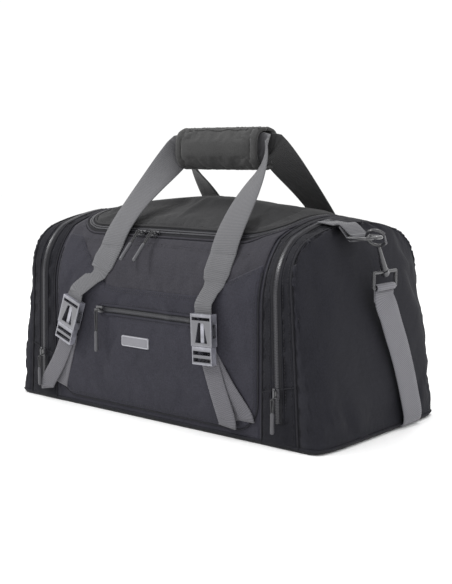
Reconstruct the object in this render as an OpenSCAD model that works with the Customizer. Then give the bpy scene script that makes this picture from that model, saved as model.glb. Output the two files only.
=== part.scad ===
// Zipped sports duffel used as a flight bag.
// Front faces -Y, right end faces +X, floor is z = 0, origin is the centre of the base.

/* [Body] */
// Overall length over the end pockets
body_l = 500; // [400:10:640]
// Depth from front fabric to rear fabric
body_d = 250; // [210:5:320]
// Height of the lid crown above the floor
body_h = 262; // [235:1:320]
// Distance from the middle to the seam where each end pocket starts
seam_x = 170; // [120:5:200]
// Drop of the main zip line below the lid crown
zip_drop = 36; // [16:1:60]
// Distance of the main zip line from the middle plane
zip_y = 92; // [75:1:110]
// Thickness of the padded body fabric
wall = 3; // [2:0.5:4]
// Thickness of the moulded base panel
base_t = 4; // [3:0.5:6]
// Radius of the lid's front corners
lid_corner_r = 45; // [25:1:60]
// Drop of the lid crown at the far ends
crown_drop = 26; // [10:1:32]

/* [Pockets] */
// Half width of the front pocket panel
front_panel_half = 165; // [140:1:168]
// Height of the pocket zip
front_zip_z = 129; // [115:1:140]
// Length of the pocket zip
front_zip_l = 158; // [120:1:200]
// How far an end panel bulges out at its foot
end_bulge = 27; // [20:1:40]
// Distance of an end zip from the pocket seam
end_zip_off = 22; // [16:1:26]
// Height of the end sliders when closed
end_slider_z = 62; // [45:1:80]

/* [Webbing] */
// Width of the handle and shoulder webbing
web_w = 38; // [30:1:44]
// Width of the compression webbing
web_narrow = 25; // [20:1:30]
// Thickness of all webbing
web_t = 1.8; // [1.4:0.1:2.4]
// Distance of the handle webbing from the middle
handle_x = 90; // [75:1:100]
// Offset of both handles from the middle, towards the right end
handle_shift = 13; // [-14:1:14]

/* [Grip] */
// Length of the wrap grip
grip_l = 130; // [110:1:150]
// Height of the wrap grip
grip_h = 46; // [42:1:52]
// Depth of the wrap grip
grip_d = 40; // [34:1:46]
// Height of the grip's middle above the lid crown
grip_rise = 64; // [56:1:83]

/* [Hardware] */
// Length of a side-release buckle
buckle_l = 58; // [56:1:70]
// Width of a side-release buckle
buckle_w = 31; // [30:1:38]
// Outward lean of the left buckle
left_lean = 20; // [0:1:24]
// Outward lean of the right buckle
right_lean = 2; // [0:1:24]
// Diameter of the ring and hook wire
wire_d = 4; // [3:0.2:5]
// Clearance between pieces that move past each other
gap = 0.5; // [0.3:0.1:0.8]

/* [Hidden] */
half_l = body_l / 2;
half_d = body_d / 2;
// The end pocket's far seam leaves room for the bulge, the splay and the seam allowance.
foot_splay = 5;
end_seam = 3;
edge_x = half_l - end_bulge - foot_splay - end_seam;
zip_z = body_h - zip_drop;
grip_z = body_h + grip_rise;
arc_a = 0.4;
zip_a = 0.7;

function mix(a, b, t) = a + (b - a) * t;
function unit(v) = v / norm(v);

// ---- The bag's outer skin: profile in the YZ plane at station x ----
// a = 0 front foot, zip_a front zip line, 1 top middle, 2 - zip_a rear zip line, 2 rear foot.
function crown_z(x) = body_h - crown_drop * pow(abs(x) / half_l, 1.3);
function crown_open(crown) = 2 * atan((crown - zip_z) / zip_y);
function skin_half(x, a, k) =
    let (crown = crown_z(x),
         open = crown_open(crown),
         big_r = zip_y / sin(open),
         pocket = max(0, min(1, (abs(x) - seam_x) / (edge_x - seam_x))),
         turn = 90 - mix(crown_open(body_h), open, pocket),
         r = (half_d - zip_y) / (1 - cos(turn)),
         z0 = zip_z - r * sin(turn))
    a < arc_a ? [k - half_d, mix(base_t, z0, a / arc_a)] :
    a < zip_a ? let (g = turn * (a - arc_a) / (zip_a - arc_a))
        [r - half_d - (r - k) * cos(g), z0 + (r - k) * sin(g)] :
    let (g = open * (1 - a) / (1 - zip_a))
        [-(big_r - k) * sin(g), crown - big_r + (big_r - k) * cos(g)];
function skin(x, a, k) = a <= 1 ? skin_half(x, a, k) : let (p = skin_half(x, 2 - a, k)) [-p[0], p[1]];
// The end pockets splay at the foot and lean in towards the top.
top_lean = 16;
function lean(x, z) = abs(x) <= seam_x ? 0 :
    sign(x) * (top_lean * z / body_h - foot_splay) * (abs(x) - seam_x) / (edge_x - seam_x);
function skin_pt(x, a, k) = let (p = skin(x, a, k)) [x - lean(x, p[1]), p[0], p[1]];

// A closed shell between two grids of points that have n rows of m points.
module shell(outer, inner, n, m) {
    far = n * m;
    top = [for (i = [0:n - 2]) for (j = [0:m - 2]) let (q = i * m + j) each
        [[q, q + 1, q + m + 1], [q, q + m + 1, q + m]]];
    low = [for (f = top) [f[2] + far, f[1] + far, f[0] + far]];
    rim = concat([for (j = [m - 1:-1:1]) j], [for (i = [0:n - 2]) i * m],
        [for (j = [0:m - 2]) (n - 1) * m + j], [for (i = [n - 1:-1:1]) i * m + m - 1]);
    k = len(rim);
    side = [for (i = [0:k - 1]) let (p = rim[i], q = rim[(i + 1) % k]) each [[p, q, q + far], [p, q + far, p + far]]];
    polyhedron(concat(outer, inner), concat(top, low, side), convexity = 8);
}

// Patch of skin from station x0 to x1 and from profile place a0 to a1, between depths k0 and k1.
module skin_patch(x0, x1, nx, a0, a1, na, k0, k1) {
    us = [for (i = [0:nx]) mix(x0, x1, i / nx)];
    vs = [for (j = [0:na]) mix(a0, a1, j / na)];
    shell([for (x = us) for (a = vs) skin_pt(x, a, k0)],
        [for (x = us) for (a = vs) skin_pt(x, a, k1)], nx + 1, na + 1);
}

// ---- Plan of the lid opening, grown by g ----
lid_half = seam_x - 8;
module lid_plan(g) {
    half = lid_half + g;
    front = zip_y + g;
    r = lid_corner_r + g;
    for (s = [-1, 1]) translate([s * (half - r), r - front]) circle(r, $fn = 48);
    translate([r - half, -front]) square([2 * (half - r), front + half_d]);
    translate([-half, r - front]) square([2 * half, front - r + half_d]);
}
module lid_column(g) {
    linear_extrude(body_h + 40) lid_plan(g);
}
tape_w = 5;
seam_gap = 0.6;

// ---- Body panels ----
foot_x = edge_x - 25;
wing_t = 1.2;
module base_panel() color("#1f2024") {
    linear_extrude(base_t) square([2 * foot_x, body_d - 8], center = true);
    translate([0, 0, base_t - wing_t]) linear_extrude(wing_t) hull()
        for (s = [-1, 1]) for (t = [-1, 1]) translate([s * (half_l - 20.5), t * (half_d - 20.5)]) circle(20, $fn = 48);
}
module base_board() color("#3a3a3c") {
    board_t = 3;
    translate([0, 0, base_t]) linear_extrude(board_t)
        square([2 * (seam_x - 8), body_d - 24], center = true);
}
module front_panel() color("#3f3e45") {
    difference() {
        skin_patch(-seam_x, seam_x, 12, 0, 1, 24, 0, wall);
        lid_column(tape_w + seam_gap);
        translate([-half_l, -1, zip_z - 20]) cube([body_l, half_d, 80]);
    }
}
module rear_panel() color("#3a3a40") {
    difference() {
        skin_patch(-seam_x, seam_x, 12, 1, 2, 24, 0, wall);
        translate([-half_l, -half_d, zip_z - 40]) cube([body_l, half_d + zip_y + 1, 120]);
    }
}
module inner_wall(side) color("#2c2c30") {
    x0 = side * (seam_x - wall - 1.5);
    outline = [for (a = [2:-0.05:0]) skin(x0, a, wall + 1.2)];
    translate([x0 + (side > 0 ? 0 : -wall), 0, 0]) rotate([90, 0, 90]) linear_extrude(wall)
        polygon(outline);
}
module left_inner_wall() { inner_wall(-1); }
module right_inner_wall() { inner_wall(1); }

// ---- End pockets ----
module pocket_gusset(side) color("#35353a")
    skin_patch(side * (seam_x + seam_gap), side * edge_x, 4, side > 0 ? 0 : 2, side > 0 ? 2 : 0, 48, 0, wall);
module left_pocket_gusset() { pocket_gusset(-1); }
module right_pocket_gusset() { pocket_gusset(1); }

// Foot-to-crown rows of the end panel: each row sweeps round the end at one height.
function panel_reach(z) = end_bulge * (1 - pow(z / crown_z(edge_x), 2)) + end_seam;
// The panel's corners are square at the foot and rounder towards the top.
function panel_power(z) = 0.36 + 0.2 * z / crown_z(edge_x);
function panel_pt(side, a, f, k) =
    let (p = skin(edge_x, a, k),
         rim = edge_x - lean(edge_x, p[1]) + seam_gap,
         bend = pow(abs(cos(f)), panel_power(p[1])),
         wide = sign(sin(f)) * pow(abs(sin(f)), panel_power(p[1])))
    [side * (rim + (panel_reach(p[1]) - k) * bend), -p[0] * wide, p[1]];
module pocket_panel(side) color("#323239") {
    rows = [for (i = [0:16]) 0.96 * i / 16];
    turns = [for (j = [0:20]) side * (-90 + 9 * j)];
    shell([for (a = rows) for (f = turns) panel_pt(side, a, -f, 0)],
        [for (a = rows) for (f = turns) panel_pt(side, a, -f, wall)], 17, 21);
}
module left_pocket_panel() { pocket_panel(-1); }
module right_pocket_panel() { pocket_panel(1); }

// ---- Zips ----
zip_t = 1.6;
module end_zip(side) color("#202024")
    skin_patch(side * (seam_x + end_zip_off - 4), side * (seam_x + end_zip_off + 4), 1,
        side > 0 ? 0.06 : 0.92, side > 0 ? 0.92 : 0.06, 22, -zip_t, -0.3);
module left_end_zip() { end_zip(-1); }
module right_end_zip() { end_zip(1); }
module zip_ring(outer_g, inner_g, k0, k1) {
    difference() {
        intersection() {
            skin_patch(-seam_x + 1, seam_x - 1, 12, 0.55, 1.6, 24, k0, k1);
            lid_column(outer_g);
        }
        lid_column(inner_g);
        translate([-half_l, zip_y - 6, 0]) cube([body_l, half_d, body_h + 50]);
    }
}
module main_zip_body_side() color("#202024") zip_ring(tape_w + seam_gap - 0.1, seam_gap, -0.4, 1.8);
module main_zip_lid_side() color("#202024") zip_ring(0, -tape_w, -0.4, 1.8);
module front_zip() color("#1c1c20") {
    zip_h = 12;
    translate([-front_zip_l / 2, skin(0, 0.3, 0)[0] - panel_t - zip_t, front_zip_z - zip_h / 2])
        cube([front_zip_l, zip_t - 0.05, zip_h]);
}

// ---- Lid ----
module lid_panel() color("#464648") {
    intersection() {
        skin_patch(-seam_x + 1, seam_x - 1, 12, 0.55, 1.45, 24, 0, wall);
        lid_column(-tape_w - 0.1);
        translate([-half_l, -half_d, 0]) cube([body_l, half_d + zip_y - 1.5, body_h + 50]);
    }
}

// ---- Layers sewn on the front ----
panel_t = 2;
yoke_t = 1.2;
panel_top = 168;
module front_outline() {
    corner = 34;
    low = base_t + 9;
    hull() {
        for (s = [-1, 1]) translate([s * (front_panel_half - corner), low + corner]) circle(corner, $fn = 48);
        translate([-front_panel_half + 4, panel_top - 3]) square([2 * front_panel_half - 8, 3]);
    }
}
module front_pocket_panel() color("#42414a") {
    intersection() {
        skin_patch(-seam_x, seam_x, 4, 0, 0.5, 12, -panel_t, -0.02);
        rotate([90, 0, 0]) linear_extrude(half_d + 20) front_outline();
    }
}
yoke_low = 78;
yoke_high = 150;
yoke_top = 205;
module yoke_panel() color("#525057") {
    intersection() {
        skin_patch(-seam_x + 12, seam_x - 12, 12, 0.4, 0.64, 12, -yoke_t, -0.15);
        rotate([90, 0, 0]) linear_extrude(half_d + 20)
            polygon([[-yoke_low, panel_top + 0.5], [yoke_low, panel_top + 0.5], [yoke_high, yoke_top],
                [yoke_high, zip_z], [-yoke_high, zip_z], [-yoke_high, yoke_top]]);
    }
}
badge_x = -21;
badge_z = 94;
module badge() color("#84838a") {
    badge_w = 46;
    badge_h = 13.5;
    badge_t = 1.8;
    translate([badge_x, -half_d - panel_t, badge_z]) rotate([90, 0, 0]) linear_extrude(badge_t)
        offset(1.2, $fn = 24) square([badge_w - 2.4, badge_h - 2.4], center = true);
}

// ---- Webbing: a flat ribbon along points p with width directions w ----
module ribbon(p, w, width, thick) {
    n = len(p);
    tangents = [for (i = [0:n - 1]) unit(p[min(i + 1, n - 1)] - p[max(i - 1, 0)])];
    across = [for (i = [0:n - 1]) unit(w[i] - (w[i] * tangents[i]) * tangents[i])];
    rows = [for (i = [0:n - 1]) let (up = cross(tangents[i], across[i]), a = across[i] * width / 2, b = up * thick / 2)
        [p[i] - a - b, p[i] + a - b, p[i] + a + b, p[i] - a + b]];
    sides = [for (i = [0:n - 2]) for (j = [0:3]) let (q = 4 * i + j, r = 4 * i + (j + 1) % 4) each
        [[q, q + 4, r + 4], [q, r + 4, r]]];
    ends = [[0, 1, 2], [0, 2, 3], for (f = [[2, 1, 0], [3, 2, 0]]) [for (q = f) q + 4 * (n - 1)]];
    polyhedron([for (r = rows) for (q = r) q], concat(sides, ends), convexity = 6);
}
// Smooth curve through four control points.
function bez(a, b, c, d, t) = pow(1 - t, 3) * a + 3 * pow(1 - t, 2) * t * b + 3 * (1 - t) * t * t * c + pow(t, 3) * d;

// ---- Carry handles ----
strap_off = panel_t + 1.4;
fold_a = 0.6;
fold = skin(handle_x, fold_a, -strap_off);
web_in = 8;
grip_end = grip_l / 2 + 6;
leg_a = [handle_x, fold[0] + 0.6, fold[1] + 1.5];
leg_b = [handle_x - 2, fold[0] + 16, fold[1] + 46];
leg_c = [grip_end + 15, -web_in - 20, grip_z - 18];
leg_d = [grip_end, -web_in, grip_z];
leg_n = 12;
leg_p = [for (i = [0:leg_n]) bez(leg_a, leg_b, leg_c, leg_d, i / leg_n)];
leg_w = [for (i = [0:leg_n]) let (t = pow(i / leg_n, 1.6)) [cos(90 * t), -0.25 * sin(180 * t), sin(90 * t)]];
function flip_x(v) = [-v[0], v[1], v[2]];
function rev(v) = [for (i = [len(v) - 1:-1:0]) v[i]];
function foot_x_of(side) = handle_shift + side * handle_x;
module handle() translate([handle_shift, 0, 0])
    ribbon(concat(leg_p, [for (q = rev(leg_p)) flip_x(q)]), concat(leg_w, [for (q = rev(leg_w)) flip_x(q)]),
        web_w, web_t);
module front_handle() color("#6a6a6c") handle();
module rear_handle() color("#2c2c2e") mirror([0, 1, 0]) handle();
half_gap = 0.4;
// Each half of the wrap grip is a padded half sleeve round its own webbing.
module grip_half() {
    slot_t = web_t + 2.6;
    slot_h = web_w + 3;
    r = 15;
    translate([handle_shift - grip_l / 2, 0, grip_z]) rotate([90, 0, 90]) linear_extrude(grip_l) difference() {
        intersection() {
            hull() for (s = [-1, 1], t = [-1, 1])
                translate([t * (grip_d / 2 - r), s * (grip_h / 2 - r)]) circle(r, $fn = 48);
            translate([-grip_d, -grip_h]) square([grip_d - half_gap, 2 * grip_h]);
        }
        translate([-web_in - slot_t / 2, -slot_h / 2]) square([slot_t, slot_h]);
    }
}
module grip_front() color("#4d4d4d") grip_half();
module grip_rear() color("#414143") mirror([0, 1, 0]) grip_half();
// A sewn strap runs down the skin from the handle's foot at x0 to the place x1 at height low_z.
module anchor_strap(x0, x1, low_z, width, y_off) {
    p = [for (a = [fold_a - 0.016:-0.02:0.2]) if (skin(x0, a, 0)[1] > low_z)
        let (q = skin(x0, a, -y_off), t = max(0, (fold[1] - q[1]) / (fold[1] - low_z)))
            [mix(x0, x1, min(1, t * t)), q[0], q[1]]];
    ribbon(p, [for (q = p) [1, 0, 0]], width, web_t);
}
rear_low_z = 120;
module rear_anchors() color("#2c2c2e")
    for (s = [-1, 1]) mirror([0, 1, 0]) anchor_strap(foot_x_of(s), foot_x_of(s), rear_low_z, web_w, 1.8);

// ---- Compression straps and side-release buckles ----
buckle_t = 9.6;
buckle_off = 5.4;
buckle_y = -half_d - panel_t - buckle_t / 2 - buckle_off;
buckle_z = 112;
strap_low_z = 172;
right_buckle_x = 96;
left_buckle_x = -130;
function buckle_x(side) = side > 0 ? right_buckle_x : left_buckle_x;
function buckle_tilt(side) = side > 0 ? right_lean : left_lean;
housing_top = buckle_l / 2;
function buckle_local(side, x, z) = let (g = side * buckle_tilt(side))
    [buckle_x(side) + x * cos(g) - z * sin(g), buckle_z + x * sin(g) + z * cos(g)];
module buckle_place(side) {
    translate([buckle_x(side), buckle_y, buckle_z]) rotate([0, -side * buckle_tilt(side), 0]) children();
}
module upper_strap(side) color("#5f5e64") {
    over = buckle_local(side, 0, housing_top + 9);
    lap_x = mix(foot_x_of(side), over[0], 0.4);
    anchor_strap(foot_x_of(side), lap_x, strap_low_z, web_w, strap_off);
    lap = [lap_x, -half_d - strap_off - web_t + 0.3, strap_low_z + 9];
    end = buckle_local(side, 0, housing_top + 0.4);
    p = [lap, lap - [0, 0, 8], [over[0], buckle_y, over[1]], [end[0], buckle_y, end[1]]];
    ribbon(p, [for (q = p) [1, 0, 0]], web_narrow, web_t);
}
module left_upper_strap() { upper_strap(-1); }
module right_upper_strap() { upper_strap(1); }
lower_y = -half_d - panel_t - web_t / 2 - 0.3;
anchor_z = 26;
tail_z = 17;
// The sewn end and the loose tail stand off to each side of the buckle above.
function anchor_x(side) = buckle_x(side) + (side > 0 ? 51 : -28);
function tail_x(side) = buckle_x(side) + (side > 0 ? 30 : -48);
module lower_strap(side) color("#5c5b61") {
    start = buckle_local(side, 0, -housing_top + 10);
    p = [[start[0], lower_y, start[1]],
        [mix(start[0], anchor_x(side), 0.5), lower_y, mix(start[1], anchor_z, 0.5)],
        [anchor_x(side), lower_y, anchor_z]];
    ribbon(p, [for (q = p) [1, 0, 0]], web_narrow, web_t);
    tail_y = lower_y - web_t - 0.25;
    t = [[start[0], tail_y, start[1]],
        [mix(start[0], tail_x(side), 0.5), tail_y, mix(start[1], tail_z, 0.5)],
        [tail_x(side), tail_y, tail_z]];
    ribbon(t, [for (q = t) [1, 0, 0]], web_narrow, web_t);
}
module left_lower_strap() { lower_strap(-1); }
module right_lower_strap() { lower_strap(1); }

buckle_wall = 1.8;
mouth = -8;
cavity_top = housing_top - 10;
module buckle_housing(side) color("#8e8e94") buckle_place(side) {
    difference() {
        translate([-buckle_w / 2, -buckle_t / 2, mouth]) cube([buckle_w, buckle_t, housing_top - mouth]);
        // Cavity, open at the mouth
        translate([-buckle_w / 2 + buckle_wall, -buckle_t / 2 + buckle_wall, mouth - 1])
            cube([buckle_w - 2 * buckle_wall, buckle_t - 2 * buckle_wall, cavity_top - mouth + 1]);
        // Side windows for the prong shoulders
        translate([-buckle_w, -buckle_t / 2 + buckle_wall, 2]) cube([2 * buckle_w, buckle_t - 2 * buckle_wall, 15]);
        // Tapered window in the face
        rotate([90, 0, 0]) linear_extrude(buckle_t) polygon([[-9, -4], [9, -4], [4, 19], [-4, 19]]);
        // Slot behind the single webbing bar
        translate([-web_narrow / 2 - 0.8, -buckle_t, housing_top - 7.5]) cube([web_narrow + 1.6, 2 * buckle_t, 3.6]);
    }
}
module left_buckle_housing() { buckle_housing(-1); }
module right_buckle_housing() { buckle_housing(1); }
fork_w = buckle_w - 2;
prong_t = buckle_t - 2 * buckle_wall - 2 * gap;
module buckle_fork(side) color("#86868c") buckle_place(side) {
    low = -housing_top;
    base_h = mouth - gap - low;
    difference() {
        translate([-fork_w / 2, -buckle_t / 2 + 0.3, low]) cube([fork_w, buckle_t - 1.2, base_h]);
        for (z = [low + 3, low + 11]) translate([-web_narrow / 2 - 0.5, -buckle_t, z])
            cube([web_narrow + 1, 2 * buckle_t, 4.5]);
    }
    translate([-2.5, -prong_t / 2, mouth - gap - 0.2]) cube([5, prong_t, cavity_top - mouth]);
}
module left_buckle_fork() { buckle_fork(-1); }
module right_buckle_fork() { buckle_fork(1); }
prong_x = 10;
module buckle_prong(side, hand) color("#86868c") buckle_place(side)
    translate([0, prong_t / 2, 0]) rotate([90, 0, 0]) linear_extrude(prong_t) {
        reach = buckle_w / 2 - buckle_wall - 0.6;
        half = 1.6;
        tip = cavity_top - 3 * gap;
        scale([hand, 1]) polygon([[prong_x - half, mouth], [prong_x + half, mouth], [prong_x + half, 4],
            [reach, 5], [reach, 13], [prong_x + 1, tip], [prong_x - half, tip]]);
    }
module left_buckle_prong_a() { buckle_prong(-1, -1); }
module left_buckle_prong_b() { buckle_prong(-1, 1); }
module right_buckle_prong_a() { buckle_prong(1, -1); }
module right_buckle_prong_b() { buckle_prong(1, 1); }

// ---- Zip sliders and cord pulls ----
slider_l = 11;
slider_w = 8;
slider_t = 3.2;
// A slider lies in the XY plane, its length along X, with the bridge on top.
module slider_solid() {
    translate([0, 0, slider_t / 2]) difference() {
        cube([slider_l, slider_w, slider_t], center = true);
        translate([slider_l / 2, 0, 0]) cube([3, 2, slider_t + 1], center = true);
    }
    for (s = [-1, 1]) translate([s * 3.6 - 0.6, -1, slider_t - 0.2]) cube([1.2, 2, 3]);
    translate([-4.2, -1, slider_t + 2.6]) cube([8.4, 2, 1.2]);
}
// A pull hangs along -Y from its own origin: cord first, then the moulded tube.
cord_d = 2.4;
tube_d = 5;
module pull_solid(cord_l, tube_l) {
    rotate([90, 0, 0]) cylinder(d = cord_d, h = cord_l + 1, $fn = 24);
    translate([0, -cord_l, 0]) rotate([90, 0, 0]) cylinder(d = tube_d, h = tube_l, $fn = 24);
}
// Slope of the skin where the main sliders run.
main_a = zip_a - 0.012;
main_pt = skin(0, main_a, 0);
main_next = skin(0, main_a - 0.03, 0);
main_slope = atan2(main_pt[1] - main_next[1], main_pt[0] - main_next[0]);
slider_lift = 1.1;
right_slider_x = -16;
left_slider_x = -38;
function main_slider_x(side) = side > 0 ? right_slider_x : left_slider_x;
module main_place(side) translate([main_slider_x(side), main_pt[0], main_pt[1]]) rotate([main_slope, 0, 0])
    translate([0, -3.2, slider_lift]) children();
module main_left_slider() color("#1b1b1d") main_place(-1) slider_solid();
module main_right_slider() color("#1b1b1d") main_place(1) slider_solid();
pull_up = slider_t + 5.4;
module main_left_pull() color("#55555a") main_place(-1) translate([0, -1.6, pull_up]) pull_solid(20, 27);
module main_right_pull() color("#55555a") main_place(1) translate([0, -1.6, pull_up]) pull_solid(20, 27);
front_slider_x = -front_zip_l / 2 - 2;
module front_place() translate([front_slider_x, -half_d - panel_t - zip_t, front_zip_z]) rotate([90, 0, 0])
    translate([0, 0, 0.4]) children();
module front_slider() color("#232326") front_place() slider_solid();
module front_pull() color("#55555a") front_place() translate([0, -1.6, pull_up]) pull_solid(26, 26);
function end_x(side) = side * (seam_x + end_zip_off) - lean(side * (seam_x + end_zip_off), end_slider_z);
module end_place(side) translate([end_x(side), -half_d - zip_t, end_slider_z]) rotate([90, 0, 0])
    translate([0, 0, 0.4]) children();
module end_slider(side) color("#1b1b1d") end_place(side) rotate([0, 0, 90]) slider_solid();
module left_end_slider() { end_slider(-1); }
module right_end_slider() { end_slider(1); }
module end_pull(side) color("#55555a") end_place(side) translate([0, -6, pull_up]) pull_solid(15, 24);
module left_end_pull() { end_pull(-1); }
module right_end_pull() { end_pull(1); }

// ---- Shoulder strap hardware: drawn on the right, turned half round for the left ----
module each_end(side) rotate([0, 0, side > 0 ? 0 : 180]) children();
ring_y = -35;
ring_z = body_h - 34;
ring_bar = [edge_x + 19, ring_y, ring_z];
ring_w = 40;
tab_w = 34;
module ring_tab(side) color("#55555b") each_end(side) {
    start_x = edge_x - 21;
    p = [for (x = [start_x:7:edge_x - 4]) let (q = skin(x, 1 + ring_y / zip_y * 0.3, -2)) [x, ring_y, q[1]]];
    last = ring_bar + [-wire_d / 2 - gap - web_t / 2, 0, 0];
    over = [edge_x + 3, ring_y, p[len(p) - 1][2] - 0.5];
    ribbon(concat(p, [over, last]), [for (i = [0:len(p) + 1]) [0, 1, 0]], tab_w, web_t);
    // Loop round the ring's straight bar
    translate(ring_bar) rotate([90, 0, 0]) difference() {
        cylinder(d = wire_d + 2 * gap + 2 * web_t, h = tab_w - 2, center = true, $fn = 48);
        cylinder(d = wire_d + 2 * gap, h = tab_w + 1, center = true, $fn = 48);
    }
}
module left_ring_tab() { ring_tab(-1); }
module right_ring_tab() { ring_tab(1); }
ring_out = 21;
module d_ring(side) color("#1d1d1f") each_end(side) translate(ring_bar) {
    half = ring_w / 2;
    r = 10;
    rotate([90, 0, 0]) cylinder(d = wire_d, h = ring_w, center = true, $fn = 32);
    for (s = [-1, 1]) translate([0, s * half, 0]) {
        sphere(d = wire_d, $fn = 32);
        rotate([0, 90, 0]) cylinder(d = wire_d, h = ring_out - r, $fn = 32);
        translate([ring_out - r, -s * r, 0]) rotate([0, 0, s > 0 ? 0 : -90])
            rotate_extrude(angle = 90, $fn = 48) translate([r, 0]) circle(d = wire_d, $fn = 32);
    }
    translate([ring_out, 0, 0]) rotate([90, 0, 0]) cylinder(d = wire_d, h = ring_w - 2 * r, center = true, $fn = 32);
}
module left_d_ring() { d_ring(-1); }
module right_d_ring() { d_ring(1); }
// The hook's own axis (its local Z) runs from the bow on the ring down to the swivel eye.
hook_top = ring_bar + [ring_out, 3, 0];
eye_z = ring_z - 40;
eye_pt = [half_l - 2, -2, eye_z];
hook_dir = unit(eye_pt - hook_top);
hook_l = norm(eye_pt - hook_top);
hook_turn = atan2(hook_dir[1], hook_dir[0]);
hook_drop = acos(hook_dir[2]);
bow_r = 11;
bow_gap = 30;
shank_d = 5;
collar_l = 5;
module hook_place(side) each_end(side) translate(hook_top) rotate([0, hook_drop, hook_turn])
    rotate([0, 0, 90]) children();
module hook(side) color("#1d1d1f") hook_place(side) {
    rotate([90, 0, 0]) rotate([0, 0, 180 + bow_gap]) rotate_extrude(angle = 360 - 2 * bow_gap, $fn = 64)
        translate([bow_r, 0]) circle(d = wire_d, $fn = 32);
    neck = hook_l - collar_l / 2 - 1;
    translate([0, 0, bow_r]) cylinder(d1 = wire_d, d2 = 8, h = neck - bow_r, $fn = 48);
    translate([0, 0, neck - 1]) cylinder(d = shank_d, h = collar_l + 3, $fn = 48);
    translate([0, 0, neck + collar_l + 1.4]) cylinder(d = 8, h = 1.8, $fn = 48);
}
module left_hook() { hook(-1); }
module right_hook() { hook(1); }
gate_d = 2.6;
gate_x = -bow_r * cos(bow_gap);
gate_half = bow_r * sin(bow_gap) - 1.6;
module hook_gate(side) color("#2a2a2c") hook_place(side)
    translate([gate_x, 0, -gate_half]) cylinder(d = gate_d, h = 2 * gate_half, $fn = 24);
module left_hook_gate() { hook_gate(-1); }
module right_hook_gate() { hook_gate(1); }
eye_w = web_w + 8;
eye_h = 17;
module swivel_eye(side) color("#1d1d1f") each_end(side) difference() {
    union() {
        translate(eye_pt) {
            rotate([90, 0, 0]) cylinder(d = wire_d, h = eye_w, center = true, $fn = 32);
            translate([0, 0, -eye_h]) rotate([90, 0, 0]) cylinder(d = wire_d, h = eye_w, center = true, $fn = 32);
            for (s = [-1, 1]) translate([0, s * eye_w / 2, -eye_h]) {
                cylinder(d = wire_d, h = eye_h, $fn = 32);
                for (z = [0, eye_h]) translate([0, 0, z]) sphere(d = wire_d, $fn = 32);
            }
        }
        hook_place(1) translate([0, 0, hook_l - collar_l / 2]) cylinder(d = 10, h = collar_l, $fn = 48);
    }
    hook_place(1) translate([0, 0, hook_l - collar_l]) cylinder(d = shank_d + 0.4, h = 2 * collar_l, $fn = 48);
    for (z = [-12 - collar_l / 2, collar_l / 2])
        hook_place(1) translate([0, 0, hook_l + z]) cylinder(d = 9.2, h = 12, $fn = 48);
}
module left_swivel_eye() { swivel_eye(-1); }
module right_swivel_eye() { swivel_eye(1); }

// ---- Shoulder strap: down each end, under the end pockets and along the floor behind ----
lie = 1.3;
lift = 3.4;
rear_y = 150;
// Places on the right are measured from the bag's right end, and on the left from its left end.
function from_right(v) = [for (q = v) [half_l + q[0], q[1], q[2]]];
function from_left(v) = [for (q = v) [q[0] - half_l, q[1], q[2]]];
drop_p = from_right([[-2, -2, eye_z - 21], [-2, -1.5, eye_z - 32], [0, 5, 142], [1, 14, 122], [3, 26, 95],
    [5, 38, 62], [6, 48, 32], [6.5, 52, 18], [6, 53.5, 9], [3.5, 54, 3.8], [-1, 54, 1.8]]);
floor_r = from_right([[-6, 54, lie], [-16, 56, lie], [-28, 65, lie], [-37, 82, lie], [-39, 98, lie],
    [-39, 118, lie], [-42, 134, lie], [-51, 145, lie], [-66, rear_y, lie], [-86, rear_y, lie]]);
floor_mid = [[130, rear_y, lift], [60, rear_y, lift], [-10, rear_y, lift], [-60, rear_y, lie]];
floor_l = from_left([[66, rear_y, lie], [51, 145, lie], [42, 134, lie], [39, 118, lie], [39, 40, lie],
    [39, -28, lie], [36, -44, lie], [28, -54, lie], [16, -54, lie], [6, -54, lie]]);
function turned(v) = [for (q = v) [-q[0], -q[1], q[2]]];
strap_p = concat(drop_p, floor_r, floor_mid, floor_l, rev(turned(drop_p)));
strap_n = len(strap_p);
// The ribbon's face points out from the bag on the drops and up on the floor.
function strap_face(i) = let (q = strap_p[i]) abs(q[0]) > half_l - 5 && q[2] > 4 ? [sign(q[0]), 0, 0] :
    abs(q[0]) > half_l - 1 ? [sign(q[0]) * 0.6, 0, -0.8] : [0, 0, -1];
module shoulder_strap() color("#5c5c62") {
    tangents = [for (i = [0:strap_n - 1]) unit(strap_p[min(i + 1, strap_n - 1)] - strap_p[max(i - 1, 0)])];
    across = [for (i = [0:strap_n - 1]) cross(strap_face(i), tangents[i])];
    ribbon(strap_p, across, web_w, web_t);
}
adjuster_x = 60;
module strap_adjuster() color("#1d1d1f") {
    slot_h = web_t + 1;
    translate([adjuster_x, rear_y, lift]) difference() {
        translate([0, 0, -0.1]) cube([26, web_w + 9, 6.4], center = true);
        cube([40, web_w + 1.2, slot_h], center = true);
        translate([0, 0, 3]) cube([16, web_w + 1.2, 6], center = true);
    }
}

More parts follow.
